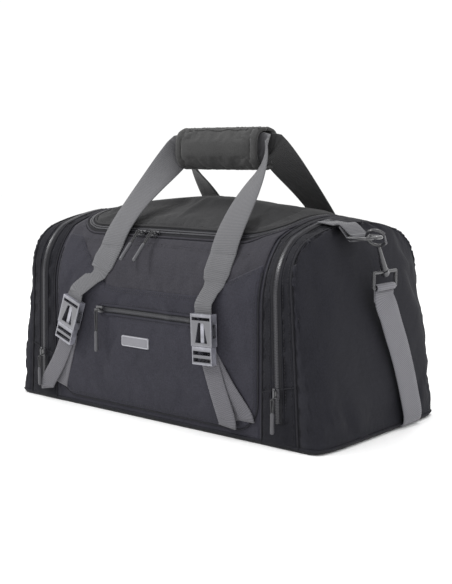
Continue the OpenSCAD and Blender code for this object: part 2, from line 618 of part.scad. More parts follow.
base_panel();
base_board();
front_panel();
rear_panel();
left_inner_wall();
right_inner_wall();
left_pocket_gusset();
right_pocket_gusset();
left_pocket_panel();
right_pocket_panel();
left_end_zip();
right_end_zip();
yoke_panel();
front_pocket_panel();
front_zip();
badge();
main_zip_body_side();
lid_panel();
main_zip_lid_side();
front_handle();
rear_handle();
grip_front();
grip_rear();
rear_anchors();
left_upper_strap();
right_upper_strap();
left_lower_strap();
right_lower_strap();
left_buckle_housing();
right_buckle_housing();
left_buckle_fork();
right_buckle_fork();
left_buckle_prong_a();
left_buckle_prong_b();
right_buckle_prong_a();
right_buckle_prong_b();
main_left_slider();
main_right_slider();
front_slider();
left_end_slider();
right_end_slider();
main_left_pull();
main_right_pull();
front_pull();
left_end_pull();
right_end_pull();
left_ring_tab();
right_ring_tab();
left_d_ring();
right_d_ring();
left_hook();
right_hook();
left_hook_gate();
right_hook_gate();
left_swivel_eye();
right_swivel_eye();
shoulder_strap();
strap_adjuster();
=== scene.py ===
"""Looks of the flight bag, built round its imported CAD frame. Lengths are millimetres until a mesh is made."""
import math

import bpy
import numpy as np
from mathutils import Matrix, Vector, noise


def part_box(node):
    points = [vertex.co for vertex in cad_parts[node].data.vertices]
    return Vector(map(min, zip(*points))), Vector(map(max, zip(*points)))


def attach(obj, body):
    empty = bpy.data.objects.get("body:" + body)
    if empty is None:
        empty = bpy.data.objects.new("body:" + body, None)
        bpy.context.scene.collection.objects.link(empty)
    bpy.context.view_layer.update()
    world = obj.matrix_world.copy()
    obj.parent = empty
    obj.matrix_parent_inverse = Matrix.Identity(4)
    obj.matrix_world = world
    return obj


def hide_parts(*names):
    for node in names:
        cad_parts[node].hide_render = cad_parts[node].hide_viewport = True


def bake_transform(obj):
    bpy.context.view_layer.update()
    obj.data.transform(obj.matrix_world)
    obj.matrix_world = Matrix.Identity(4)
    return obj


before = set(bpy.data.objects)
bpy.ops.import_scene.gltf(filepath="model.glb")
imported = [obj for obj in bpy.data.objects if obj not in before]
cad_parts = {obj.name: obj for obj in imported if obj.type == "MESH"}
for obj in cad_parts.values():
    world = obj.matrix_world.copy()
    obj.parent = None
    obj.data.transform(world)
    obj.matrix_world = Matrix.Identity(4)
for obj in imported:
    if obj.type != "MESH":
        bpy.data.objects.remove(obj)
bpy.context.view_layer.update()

MM = 0.001


# ---------- Sizes read from the frame ----------
def lo(node):
    return np.array(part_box(node)[0]) / MM


def hi(node):
    return np.array(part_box(node)[1]) / MM


SEAM_X = hi("front_panel")[0]
HALF_D = -lo("front_panel")[1]
BODY_H = hi("lid_panel")[2]
HALF_L = hi("base_panel")[0] + 0.5
BASE_T = hi("base_panel")[2]
EDGE_X = SEAM_X + 45
ZIP_Z = 226
ZIP_Y = 92
CROWN_DROP = 26
END_BULGE = 27
FOOT_SPLAY = 5
TOP_LEAN = 16
ARC_A = 0.4
ZIP_A = 0.7
LID_R = 45
LID_HALF = SEAM_X - 8
PANEL_T = 2
WEB_T = 1.8
WEB_W = 38
WEB_NARROW = 25
POCKET_HALF, POCKET_FOOT = 165, 12
CORNER_R = 34
CORNER_X, CORNER_Z = POCKET_HALF - CORNER_R, POCKET_FOOT + CORNER_R
FRONT_ZIP_Z = 129
END_ZIP_X = SEAM_X + 22
BUCKLE_Z, BUCKLE_OFF = 112, 10.2
PULL_OFF = 8.6
HANDLE_X = 90
SHIFT = (lo("grip_front")[0] + hi("grip_front")[0]) / 2


# ---------- The bag's outer skin, as the CAD draws it ----------
def crown_z(x):
    return BODY_H - CROWN_DROP * (abs(x) / HALF_L) ** 1.3


def crown_open(crown):
    return 2 * math.atan((crown - ZIP_Z) / ZIP_Y)


def skin_half(x, a, d):
    """(y, z) of the profile at station x and place a, a distance d outside the skin."""
    crown = crown_z(x)
    opening = crown_open(crown)
    big_r = ZIP_Y / math.sin(opening)
    pocket = max(0, min(1, (abs(x) - SEAM_X) / (EDGE_X - SEAM_X)))
    full = crown_open(BODY_H)
    turn = math.pi / 2 - (full + (opening - full) * pocket)
    r = (HALF_D - ZIP_Y) / (1 - math.cos(turn))
    z0 = ZIP_Z - r * math.sin(turn)
    if a < ARC_A:
        return -d - HALF_D, BASE_T + (z0 - BASE_T) * a / ARC_A
    if a < ZIP_A:
        g = turn * (a - ARC_A) / (ZIP_A - ARC_A)
        return r - HALF_D - (r + d) * math.cos(g), z0 + (r + d) * math.sin(g)
    g = opening * (1 - a) / (1 - ZIP_A)
    return -(big_r + d) * math.sin(g), crown - big_r + (big_r + d) * math.cos(g)


def skin(x, a, d=0.0):
    if a <= 1:
        return skin_half(x, a, d)
    y, z = skin_half(x, 2 - a, d)
    return -y, z


def lean(x, z):
    if abs(x) <= SEAM_X:
        return 0.0
    return math.copysign(1, x) * (TOP_LEAN * z / BODY_H - FOOT_SPLAY) * (abs(x) - SEAM_X) / (EDGE_X - SEAM_X)


def skin_pt(x, a, d=0.0):
    y, z = skin(x, a, d)
    return np.array([x - lean(x, z), y, z])


FRONT_A = np.linspace(0, 1, 500)
FRONT_Z = np.array([skin(0, a)[1] for a in FRONT_A])


def a_at(z):
    """Profile place of height z on the front of the body."""
    return float(np.interp(z, FRONT_Z, FRONT_A))


def front(x, z, d=0.0):
    return skin_pt(x, a_at(z), d)


def normal_at(x, a):
    out = skin_pt(x, a, 1) - skin_pt(x, a, 0)
    return out / np.linalg.norm(out)


def on_plan(x, y, d=0.0):
    """The point of the skin's top half that is over plan point (x, y), and its normal."""
    lo_a, hi_a = (0.3, 1.0) if y <= 0 else (1.0, 1.7)
    for _ in range(24):
        a = (lo_a + hi_a) / 2
        if skin(x, a)[0] < y:
            lo_a = a
        else:
            hi_a = a
    return skin_pt(x, a, d), normal_at(x, a)


def lid_edge(grow, steps=16):
    """Plan points of the lid's zip line from the rear left round the front to the rear right."""
    half, front_y, r = LID_HALF + grow, ZIP_Y + grow, LID_R + grow
    side = [(half, y) for y in np.linspace(ZIP_Y - 6, r - front_y, 22)]
    turn = [(half - r + r * math.cos(t), r - front_y - r * math.sin(t))
            for t in np.linspace(0, math.pi / 2, steps)[1:]]
    across = [(x, -front_y) for x in np.linspace(half - r, 0, 20)[1:]]
    right = side + turn + across
    return [(-x, y) for x, y in right[:-1]] + right[::-1]


# ---------- Materials ----------
class Nodes:
    """A new material's nodes, with short calls that add and join them."""

    def __init__(self, name):
        self.mat = bpy.data.materials.new(name)
        self.mat.use_nodes = True
        self.tree = self.mat.node_tree
        self.shader = self.tree.nodes["Principled BSDF"]
        self.link = self.tree.links.new

    def add(self, kind, **values):
        n = self.tree.nodes.new(kind)
        for key, value in values.items():
            if key.startswith("in_"):
                n.inputs[key[3:]].default_value = value
            else:
                setattr(n, key, value)
        return n

    def feed(self, socket, value):
        if isinstance(value, (int, float, tuple)):
            socket.default_value = value
        else:
            self.link(value, socket)

    def calc(self, operation, a, b):
        n = self.add("ShaderNodeMath", operation=operation)
        self.feed(n.inputs[0], a)
        self.feed(n.inputs[1], b)
        return n.outputs[0]

    def mix(self, factor, a, b, blend="MIX"):
        n = self.add("ShaderNodeMix", data_type="RGBA", blend_type=blend)
        for i, v in ((0, factor), (6, a), (7, b)):
            self.feed(n.inputs[i], v)
        return n.outputs[2]

    def wave(self, vector, direction, length):
        """A sine of that wavelength, in the units of vector, from 0 to 1."""
        n = self.add("ShaderNodeTexWave", wave_type="BANDS", bands_direction=direction,
                     in_Scale=2 * math.pi / (20 * length), in_Distortion=0.0)
        self.link(vector, n.inputs["Vector"])
        return n.outputs["Fac"]

    def noises(self, *kinds):
        """Noise textures on the piece's own coordinates."""
        at = self.add("ShaderNodeTexCoord").outputs["Object"]
        made = [self.add("ShaderNodeTexNoise", **values) for values in kinds]
        for n in made:
            self.link(at, n.inputs["Vector"])
        return made

    def paint_wear_and_highlight(self, low, high, spots, base, wear_and_highlight_colour):
        """Base colour that turns paler on exposed edges: wear, and at high gain a painted highlight."""
        edge = self.add("ShaderNodeValToRGB")
        edge.color_ramp.elements[0].position = low
        edge.color_ramp.elements[1].position = high
        self.link(self.add("ShaderNodeNewGeometry").outputs["Pointiness"], edge.inputs["Fac"])
        share = self.calc("MULTIPLY", edge.outputs["Color"], spots.outputs["Fac"])
        self.link(self.mix(share, base, wear_and_highlight_colour), self.shader.inputs["Base Color"])

    def rough(self, source, spread, middle):
        share = self.calc("MULTIPLY", source.outputs["Fac"], spread)
        self.link(self.calc("ADD", share, middle - spread / 2), self.shader.inputs["Roughness"])

    def relief(self, height, strength, distance, below=None):
        bump = self.add("ShaderNodeBump", in_Strength=strength, in_Distance=distance)
        self.link(height, bump.inputs["Height"])
        if below:
            self.link(below, bump.inputs["Normal"])
        return bump.outputs["Normal"]

    def finish(self, normal, **values):
        """Joins the relief and sets the shader's plain inputs."""
        self.link(normal, self.shader.inputs["Normal"])
        for key, value in values.items():
            self.shader.inputs[key.replace("_", " ")].default_value = value
        return self.mat


def shade(colour, k):
    return tuple(min(1, c * k) for c in colour[:3]) + (1,)


def cloth_material(name, colour, pitch=1.1, rough=0.85, bump=0.25, sheen=0.03, wear_and_highlight_gain=1.5, mottle=0.16):
    """Plain weave on every side of a piece, with soft mottling and paler worn edges."""
    t = Nodes(name)
    broad, fine, crease = t.noises(
        dict(in_Scale=34, in_Detail=4, in_Roughness=0.6), dict(in_Scale=700, in_Detail=3, in_Roughness=0.7),
        dict(in_Scale=17, in_Detail=3, in_Roughness=0.5, in_Distortion=0.6))
    at = t.add("ShaderNodeTexCoord").outputs["Object"]
    waves = [t.wave(at, d, pitch * MM) for d in "XYZ"]
    yarn = t.calc("MULTIPLY", t.calc("ADD", t.calc("ADD", waves[0], waves[1]), waves[2]), 1 / 3)
    spots = t.mix(broad.outputs["Fac"], shade(colour, 1 - mottle), shade(colour, 1 + mottle))
    grain = t.calc("ADD", t.calc("MULTIPLY", yarn, 0.16), t.calc("MULTIPLY", fine.outputs["Fac"], 1.5))
    woven = t.mix(1.0, spots, t.calc("ADD", grain, 0.17), "MULTIPLY")
    t.paint_wear_and_highlight(0.52, 0.62, broad, woven, shade(colour, wear_and_highlight_gain))
    t.rough(fine, 0.16, rough)
    height = t.calc("ADD", yarn, t.calc("MULTIPLY", fine.outputs["Fac"], 0.5))
    folds = t.relief(crease.outputs["Fac"], 0.55, 0.006)
    return t.finish(t.relief(height, bump, 0.0004, folds), Sheen_Weight=sheen, Sheen_Roughness=0.45,
                    Specular_IOR_Level=0.16)


def web_material(name, colour, rib=2.1, bump=0.6, rough=0.7):
    """Webbing with ribs across it; a piece's UV holds millimetres across and along."""
    t = Nodes(name)
    uv = t.add("ShaderNodeUVMap", uv_map="mm").outputs["UV"]
    ribs, yarns = t.wave(uv, "Y", rib), t.wave(uv, "X", 1.3)
    cloud, fine = t.noises(dict(in_Scale=60, in_Detail=4), dict(in_Scale=1500, in_Detail=1))
    rib_tone = t.calc("ADD", t.calc("MULTIPLY", ribs, 0.34), 0.80)
    fine_tone = t.calc("ADD", t.calc("MULTIPLY", fine.outputs["Fac"], 0.30), 0.85)
    base = t.mix(cloud.outputs["Fac"], shade(colour, 0.9), shade(colour, 1.1))
    woven = t.mix(1.0, base, t.calc("MULTIPLY", rib_tone, fine_tone), "MULTIPLY")
    t.link(woven, t.shader.inputs["Base Color"])
    t.rough(cloud, 0.15, rough + 0.005)
    height = t.calc("ADD", ribs, t.calc("MULTIPLY", yarns, 0.45))
    return t.finish(t.relief(height, bump, 0.0005), Sheen_Weight=0.15, Specular_IOR_Level=0.35)


def hard_material(name, colour, rough=0.4, grain=2600, bump=0.08, metal=0.0, wear_and_highlight_gain=1.6, coat=0.0):
    """Moulded plastic, enamelled or plated metal: fine grain, soft stains and paler edges, which are wear and,
    on the buckles, a painted highlight.
    """
    t = Nodes(name)
    cloud, fine = t.noises(dict(in_Scale=120, in_Detail=3), dict(in_Scale=grain, in_Detail=2))
    base = t.mix(cloud.outputs["Fac"], shade(colour, 0.88), shade(colour, 1.12))
    t.paint_wear_and_highlight(0.53, 0.66, cloud, base, shade(colour, wear_and_highlight_gain))
    t.rough(cloud, 0.18, rough)
    return t.finish(t.relief(fine.outputs["Fac"], bump, 0.0002), Metallic=metal, Coat_Weight=coat)


MAT = {
    "main": cloth_material("main_weave", (0.024, 0.0235, 0.031)),
    "yoke": cloth_material("yoke_weave", (0.029, 0.028, 0.034)),
    "lid": cloth_material("lid_weave", (0.027, 0.027, 0.028)),
    # The end and gusset cloth is the front's cloth painted darker: painted shade for the sides that turn away
    # from the lamps.
    "end": cloth_material("end_weave_painted_shade", (0.0125, 0.0125, 0.0165)),
    "gusset": cloth_material("gusset_weave_painted_shade", (0.0090, 0.0090, 0.0120)),
    "base": cloth_material("base_coated_weave", (0.012, 0.012, 0.014), pitch=1.6, rough=0.6),
    "lining": cloth_material("lining_taffeta", (0.022, 0.022, 0.025), pitch=0.6, rough=0.6, bump=0.1),
    "piping": cloth_material("piping_weave", (0.012, 0.012, 0.015), pitch=0.9, rough=0.75, wear_and_highlight_gain=2.2),
    "tape": cloth_material("zip_tape_weave", (0.009, 0.009, 0.011), pitch=0.8, rough=0.8),
    "grip": cloth_material("grip_weave", (0.037, 0.037, 0.037), pitch=1.2, sheen=0.1),
    "thread": hard_material("sewing_thread", (0.012, 0.012, 0.015), rough=0.6),
    "thread_pale": hard_material("sewing_thread_pale", (0.13, 0.13, 0.14), rough=0.6),
    "coil": hard_material("nylon_coil", (0.024, 0.024, 0.028), rough=0.35),
    "web": web_material("webbing_grey", (0.082, 0.082, 0.088)),
    # The rear handle's webbing is the same webbing painted about three times darker: painted shade for the
    # shadowed rear handle and its feet.
    "web_painted_shade": web_material("webbing_dark", (0.026, 0.026, 0.027)),
    "web_low": web_material("webbing_strap", (0.085, 0.083, 0.094)),
    "web_strap": web_material("webbing_shoulder", (0.125, 0.124, 0.138)),
    "web_tab": web_material("webbing_tab", (0.070, 0.070, 0.078)),
    # The buckles' edges are painted far paler than their faces: a painted highlight.
    "buckle": hard_material("buckle_acetal_painted_highlight", (0.062, 0.062, 0.072), rough=0.25, wear_and_highlight_gain=7.0, coat=0.8),
    # The prongs are the buckle's acetal painted darker: painted shade inside the buckle's window.
    "prong": hard_material("prong_acetal_painted_shade", (0.030, 0.030, 0.036), rough=0.36, wear_and_highlight_gain=2.2, coat=0.15),
    "hardware": hard_material("hook_black_plate", (0.024, 0.024, 0.027), rough=0.28, wear_and_highlight_gain=3.0, coat=0.35),
    "slider": hard_material("slider_enamel", (0.018, 0.018, 0.020), rough=0.25, wear_and_highlight_gain=4.0, coat=0.4),
    "cord": web_material("pull_cord", (0.018, 0.018, 0.020), rib=1.2, bump=0.8),
    "tube": hard_material("pull_tube", (0.050, 0.050, 0.056), rough=0.45),
    "badge": hard_material("badge_rubber", (0.150, 0.149, 0.165), rough=0.55, grain=900, bump=0.2),
    "badge_rim": hard_material("badge_rim", (0.36, 0.36, 0.39), rough=0.5),
    "board": hard_material("stiffener_board", (0.04, 0.04, 0.042), rough=0.8),
}


# ---------- Mesh tools ----------
def make(name, points, faces, mat, body, slot, uv=None, smooth=True, replaces=()):
    mesh = bpy.data.meshes.new(name)
    mesh.from_pydata([tuple(float(c) * MM for c in p) for p in points], [], [tuple(f) for f in faces])
    if uv is not None:
        layer = mesh.uv_layers.new(name="mm")
        for loop in mesh.loops:
            layer.data[loop.index].uv = uv[loop.vertex_index]
    mesh.polygons.foreach_set("use_smooth", [smooth] * len(mesh.polygons))
    mesh.materials.append(MAT[mat])
    mesh.update()
    obj = bpy.data.objects.new(name, mesh)
    bpy.context.scene.collection.objects.link(obj)
    if body:
        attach(obj, body)
    if replaces:
        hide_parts(*replaces)
    return obj


def grid_faces(n, m, flip=False, start=0):
    faces = []
    for i in range(n - 1):
        for j in range(m - 1):
            q = start + i * m + j
            f = (q, q + m, q + m + 1, q + 1)
            faces.append(f[::-1] if flip else f)
    return faces


def ring_faces(rings, k):
    """The sides between rings of k points."""
    return [(i * k + j, i * k + (j + 1) % k, (i + 1) * k + (j + 1) % k, (i + 1) * k + j)
            for i in range(rings - 1) for j in range(k)]


def sheet(name, rows, mat, body, slot, flip=False, **extra):
    """An open grid of points, n rows of m, sewn from one piece of cloth."""
    n, m = len(rows), len(rows[0])
    return make(name, [p for r in rows for p in r], grid_faces(n, m, flip), mat, body, slot, **extra)


def rim_of(n, m, deep=1):
    """Weights that hold a grid's outer rows, fading inwards."""
    held = {}
    for i in range(n):
        for j in range(m):
            e = min(i, j, n - 1 - i, m - 1 - j)
            if e < deep:
                held[i * m + j] = 1.0 - 0.6 * e / deep
    return held


def thicken(obj, thick, offset=-1):
    mod = obj.modifiers.new("thickness", "SOLIDIFY")
    mod.thickness = thick * MM
    mod.offset = offset
    return obj


def onto(obj, points, lift=0.0):
    """Points moved onto a piece's surface and lifted off it, with the surface's normals."""
    out, ups = [], []
    for p in points:
        hit, at, n, _ = obj.closest_point_on_mesh(Vector([float(c) * MM for c in p]))
        n = np.array(n)
        out.append(np.array(at) / MM + n * lift)
        ups.append(n)
    return np.array(out), np.array(ups)


def run_of(path):
    """Distance from the start at every point of a path."""
    return np.concatenate([[0], np.cumsum(np.linalg.norm(np.diff(path, axis=0), axis=1))])


def along(values, far, at):
    """Values given at the distances far, read at the distances at."""
    return np.stack([np.interp(at, far, values[:, k]) for k in range(3)], 1)


def path_frames(path, ups):
    path = np.array(path, float)
    tangent = np.gradient(path, axis=0)
    tangent /= np.linalg.norm(tangent, axis=1)[:, None]
    up = np.array(ups, float)
    up = up - (up * tangent).sum(1)[:, None] * tangent
    up /= np.linalg.norm(up, axis=1)[:, None]
    return path, tangent, up, np.cross(tangent, up)


def sweep(name, path, ups, profile, mat, body, slot, ends=True, scale=None, **extra):
    """Sweeps a closed profile of (side, up) points along a path. UV is side and distance, in millimetres."""
    path, _, up, side = path_frames(path, ups)
    far = run_of(path)
    k = len(profile)
    points, uv = [], []
    for i in range(len(path)):
        s = 1.0 if scale is None else scale[i]
        for u, v in profile:
            points.append(path[i] + side[i] * u * s + up[i] * v * s)
            uv.append((u, far[i]))
    faces = ring_faces(len(path), k)
    if ends:
        faces.append(tuple(range(k))[::-1])
        faces.append(tuple((len(path) - 1) * k + j for j in range(k)))
    return make(name, points, faces, mat, body, slot, uv=uv, **extra)


def round_profile(r, sides=10):
    turns = [2 * math.pi * i / sides for i in range(sides)]
    return [(r * math.cos(g), r * math.sin(g)) for g in turns]


def flat_profile(width, thick, columns=6):
    """Webbing's section: flat, with rounded edges."""
    half, h = width / 2, thick / 2
    xs = np.linspace(-half + h, half - h, columns)
    lower = [(x, -h) for x in xs]
    upper = [(x, h) for x in xs[::-1]]
    return lower + [(half - h * 0.3, -h * 0.7), (half, 0), (half - h * 0.3, h * 0.7)] + upper + [
        (-half + h * 0.3, h * 0.7), (-half, 0), (-half + h * 0.3, -h * 0.7)]


def smooth_path(points, count):
    """Catmull-Rom curve through the points, resampled to even steps."""
    p = np.array(points, float)
    p = np.vstack([2 * p[0] - p[1], p, 2 * p[-1] - p[-2]])
    out = []
    for i in range(1, len(p) - 2):
        for t in np.linspace(0, 1, 12, endpoint=False):
            out.append(0.5 * (2 * p[i] + (p[i + 1] - p[i - 1]) * t
                              + (2 * p[i - 1] - 5 * p[i] + 4 * p[i + 1] - p[i + 2]) * t * t
                              + (3 * p[i] - p[i - 1] - 3 * p[i + 1] + p[i + 2]) * t ** 3))
    out.append(p[-2])
    out = np.array(out)
    far = run_of(out)
    at = np.linspace(0, far[-1], count)
    return along(out, far, at)


def stitches(name, path, ups, body, slot="main_fabric", pitch=3.4, length=2.5, width=0.55, mat="thread"):
    """A row of raised stitches along a path, as one mesh."""
    path = np.array(path, float)
    far = run_of(path)
    count = max(2, int(far[-1] / pitch))
    at = (np.arange(count) + 0.5) * far[-1] / count
    mid = along(path, far, at)
    up = along(np.array(ups, float), far, at)
    ahead = along(path, far, np.minimum(at + 0.5, far[-1]))
    behind = along(path, far, np.maximum(at - 0.5, 0))
    points, faces = [], []
    for p, u, t in zip(mid, up, ahead - behind):
        t = t / np.linalg.norm(t)
        u = u / np.linalg.norm(u)
        s = np.cross(t, u)
        base = len(points)
        for f, w, h in ((-0.5, 0.35, 0.0), (-0.3, 1, 0.55), (0.3, 1, 0.55), (0.5, 0.35, 0.0)):
            c = p + t * length * f
            points += [c - s * width / 2 * w - u * 0.25, c + s * width / 2 * w - u * 0.25, c + u * width * h]
        for i in range(3):
            q = base + 3 * i
            faces += [(q, q + 3, q + 5, q + 2), (q + 2, q + 5, q + 4, q + 1), (q + 1, q + 4, q + 3, q)]
        faces += [(base, base + 2, base + 1), (base + 9, base + 10, base + 11)]
    return make(name, points, faces, mat, body, slot)


def zip_teeth(name, path, ups, body, pitch=1.7, width=5.2, mat="coil", slot="zip_tape", replaces=()):
    """Two staggered rows of coil teeth along a path, as one mesh."""
    path, tangent, up, side = path_frames(path, ups)
    far = run_of(path)
    points, faces = [], []
    for row in (-1, 1):
        for d in np.arange(0.6 + (row + 1) * pitch / 4, far[-1] - 0.6, pitch):
            i = min(len(far) - 2, int(np.searchsorted(far, d)) - 1)
            f = (d - far[i]) / (far[i + 1] - far[i])
            c = path[i] * (1 - f) + path[i + 1] * f
            t, u, s = tangent[i], up[i], side[i] * row
            base = len(points)
            for half in (-0.5, 0.5):
                a = t * half * pitch * 0.62
                points += [c + a - s * 0.5, c + a - s * 0.3 + u * 0.8, c + a + s * width * 0.36 + u * 0.9,
                           c + a + s * width / 2 + u * 0.1]
            faces += [(base, base + 1, base + 5, base + 4), (base + 1, base + 2, base + 6, base + 5),
                      (base + 2, base + 3, base + 7, base + 6), (base, base + 3, base + 2, base + 1),
                      (base + 4, base + 5, base + 6, base + 7)]
    return make(name, points, faces, mat, body, slot, smooth=False, replaces=replaces)


def fold_noise(p, size, seed):
    """Smooth value from -1 to 1 that changes over that many millimetres."""
    return noise.noise(Vector((p[0] / size + seed * 7.3, p[1] / size - seed * 3.1, p[2] / size + seed * 1.7)))


def soften(obj, pin, pressure=0.6, slack=0.03, cap=3.5, frames=16, bend=0.4):
    """Cloth simulation of a sewn panel held along its seams: it swells and creases, then keeps that shape."""
    rest = np.zeros(len(obj.data.vertices) * 3)
    obj.data.vertices.foreach_get("co", rest)
    rest = rest.reshape(-1, 3)
    group = obj.vertex_groups.new(name="held")
    for i, w in pin.items():
        group.add([i], w, "REPLACE")
    mod = obj.modifiers.new("Cloth", "CLOTH")
    s = mod.settings
    s.quality = 5
    s.mass = 0.2
    s.tension_stiffness = s.compression_stiffness = 18
    s.shear_stiffness = 6
    s.bending_stiffness = bend
    s.vertex_group_mass = "held"
    s.shrink_min = -slack
    s.use_pressure = True
    s.uniform_pressure_force = pressure
    s.effector_weights.gravity = 0
    mod.point_cache.frame_start, mod.point_cache.frame_end = 1, frames
    for f in range(1, frames + 1):
        bpy.context.scene.frame_set(f)
    shown = obj.evaluated_get(bpy.context.evaluated_depsgraph_get())
    moved = np.zeros(len(rest) * 3)
    shown.data.vertices.foreach_get("co", moved)
    moved = moved.reshape(-1, 3)
    obj.modifiers.remove(mod)
    shift = moved - rest
    far = np.linalg.norm(shift, axis=1)
    limit = cap * MM
    keep = np.where(far > 1e-9, limit * np.tanh(far / limit) / np.maximum(far, 1e-9), 0)
    obj.data.vertices.foreach_set("co", (rest + shift * keep[:, None]).ravel())
    obj.vertex_groups.clear()
    obj.data.update()
    bpy.context.scene.frame_set(1)


# ---------- Body panels ----------
def a_for_y(x, y):
    """Front or top place on the profile at station x that is over y."""
    low, high = 0.05, 1.95
    for _ in range(26):
        a = (low + high) / 2
        if skin(x, a)[0] < y:
            low = a
        else:
            high = a
    return low


def zip_y_at(x, grow):
    """How far forward the lid's edge lies at station x."""
    half, front_y, r = LID_HALF + grow, ZIP_Y + grow, LID_R + grow
    over = abs(x) - (half - r)
    if over <= 0:
        return -front_y
    if over >= r:
        return r - front_y
    return (r - front_y) - math.sqrt(r * r - over * over)


def lerp(a, b, t):
    return a + (b - a) * t


def steps(a, b, n):
    return [lerp(a, b, i / (n - 1)) for i in range(n)]


def pocket_top(x):
    """Height of the seam between the pocket panel and the yoke."""
    return float(np.interp(x, [-165, -138, -74, -60, 68, 80, 163, 166],
                           [217, 215, 160, 158, 158, 160, 198, 199]))


def pocket_low(x):
    over = abs(x) - CORNER_X
    return POCKET_FOOT if over <= 0 else CORNER_Z - math.sqrt(max(0, CORNER_R ** 2 - over * over))


def pocket_d(x, z):
    """How far the pocket panel stands off the skin."""
    corner = math.hypot(abs(x) - CORNER_X, CORNER_Z - z)
    e = min(POCKET_HALF - abs(x), z - POCKET_FOOT)
    if z < CORNER_Z and abs(x) > CORNER_X:
        e = CORNER_R - corner
    e = max(0.0, min(e, 0.85 * (pocket_top(x) - z) + 1.5))
    slack = 0.55 * fold_noise((x, z, 0), 46, 2) + 0.35 * fold_noise((x, z, 0), 21, 5)
    out = 0.5 + 2.0 * (1 - math.exp(-e / 2.2)) + (1.0 + slack) * (1 - math.exp(-e / 18))
    at_zip = math.exp(-((z - FRONT_ZIP_Z) / 13) ** 2) * min(1.0, max(0.0, (96 - abs(x)) / 14))
    return lerp(out, 1.6, at_zip)


def outer_d(x, z):
    """Top of the cloth at a place on the front."""
    return pocket_d(x, z) if z < pocket_top(x) else 1.6


def build_body():
    xs = steps(-167.5, 167.5, 69)
    rows = []
    for x in xs:
        top = a_for_y(x, zip_y_at(x, 5.6))
        rows.append([skin_pt(x, a, 0) for a in steps(0.0, top, 50)])
    body = sheet("front_shell", rows, "main", "bag", "main_fabric", replaces=["front_panel"])
    thicken(body, 2)
    rows = []
    for x in steps(-170, 170, 60):
        rows.append([skin_pt(x, a, 0.2) for a in steps(1.31, 2.0, 44)])
    rear = sheet("rear_shell", rows, "main", "bag", "main_fabric", replaces=["rear_panel"])
    soften(rear, rim_of(60, 44, 2), pressure=0.5, slack=0.03, cap=3)
    thicken(rear, 2)
    for side in (-1, 1):
        rows = [[skin_pt(side * x, a, 0.1) for a in steps(0.0, 2.0, 120)] for x in (167.2, 168.6, 170)]
        strip = sheet("end_seam_strip_" + "lr"[side > 0], rows, "main", "bag", "main_fabric", flip=side < 0)
        thicken(strip, 1.2)


def build_yoke():
    rows = []
    for x in steps(-165, 165, 80):
        top = a_for_y(x, zip_y_at(x, 8.0))
        low = a_at(pocket_top(x) - 5)
        rows.append([skin_pt(x, a, 1.0 + 0.5 * math.sin(math.pi * i / 29))
                     for i, a in enumerate(steps(low, top, 30))])
    yoke = sheet("yoke_cloth", rows, "yoke", "bag", "yoke_fabric", replaces=["yoke_panel"])
    soften(yoke, rim_of(80, 30, 2), pressure=0.05, slack=0.02, cap=0.7)
    thicken(yoke, 1)
    band = [(x, 211.5 if x < 0 else lerp(211.5, 207.5, x / 150)) for x in steps(-160, 150, 90)]
    for k, dz in enumerate((0, -2.6)):
        p, n = onto(yoke, [front(x, z + dz, 1.5) for x, z in band], 0.1)
        stitches(f"yoke_top_stitch_{k}", p, n, "bag", "yoke_fabric")


def build_pocket():
    rows = []
    for x in steps(-165, 165, 96):
        low, top = pocket_low(x), pocket_top(x)
        zs = [lerp(low, top, (1 - math.cos(math.pi * i / 47)) / 2 * 0.5 + 0.5 * i / 47) for i in range(48)]
        rows.append([front(x, z, pocket_d(x, z)) for z in zs])
    pocket = sheet("pocket_cloth", rows, "main", "bag", "main_fabric", replaces=["front_pocket_panel"])
    soften(pocket, rim_of(96, 48, 4), pressure=0.05, slack=0.02, cap=0.8)
    thicken(pocket, 1.6)
    outline = [(x, pocket_top(x)) for x in steps(-160, 160, 150)]
    for k, off in enumerate((2.2, 5.0)):
        p, n = onto(pocket, [front(x, z - off, 3) for x, z in outline], 0.12)
        stitches(f"pocket_top_stitch_{k}", p, n, "bag")
    corner = [(CORNER_X + CORNER_R * math.sin(t), CORNER_Z - CORNER_R * math.cos(t))
              for t in steps(0, math.pi / 2, 14)]
    foot = [(-POCKET_HALF, z) for z in steps(200, 52, 30)] + [(-x, z) for x, z in corner[::-1]]
    foot += [(x, POCKET_FOOT) for x in steps(-125, 125, 60)]
    foot += corner + [(POCKET_HALF, z) for z in steps(52, 190, 30)]
    inner = [(x - math.copysign(4.5 if abs(x) > 140 else 0, x), z + (4.5 if z < 40 else 0)) for x, z in foot]
    p, n = onto(pocket, [front(x, z, 3) for x, z in inner], 0.12)
    stitches("pocket_foot_stitch", p, n, "bag")
    path = [front(x, z, 0.9) for x, z in foot]
    ups = [normal_at(x, a_at(z)) for x, z in foot]
    sweep("pocket_piping", path, ups, round_profile(1.1), "piping", "bag", "main_fabric")
    return pocket


def build_lid():
    grow = -5.4
    half, front_y, r = LID_HALF + grow, ZIP_Y + grow, LID_R + grow
    rows = []
    for i in range(56):
        y = lerp(-front_y, ZIP_Y - 2, i / 55)
        over = (r - front_y) - y
        w = half if over <= 0 else half - r + math.sqrt(max(0, r * r - over * over))
        rows.append([on_plan(x, y, 0.8 + 0.6 * math.sin(math.pi * i / 55))[0] for x in steps(-w, w, 90)])
    lid = sheet("lid_cloth", rows, "lid", "lid", "lid_fabric", flip=True, replaces=["lid_panel"])
    soften(lid, rim_of(56, 90, 2), pressure=0.5, slack=0.03, cap=4)
    thicken(lid, 2)
    plan = lid_edge(-10)
    p, n = onto(lid, [on_plan(x, y, 1)[0] for x, y in plan], 0.12)
    stitches("lid_edge_stitch", p, n, "lid", "lid_fabric")


def path_on_plan(grow, d):
    at = [on_plan(x, y, d) for x, y in lid_edge(grow)]
    return [p for p, _ in at], [n for _, n in at]


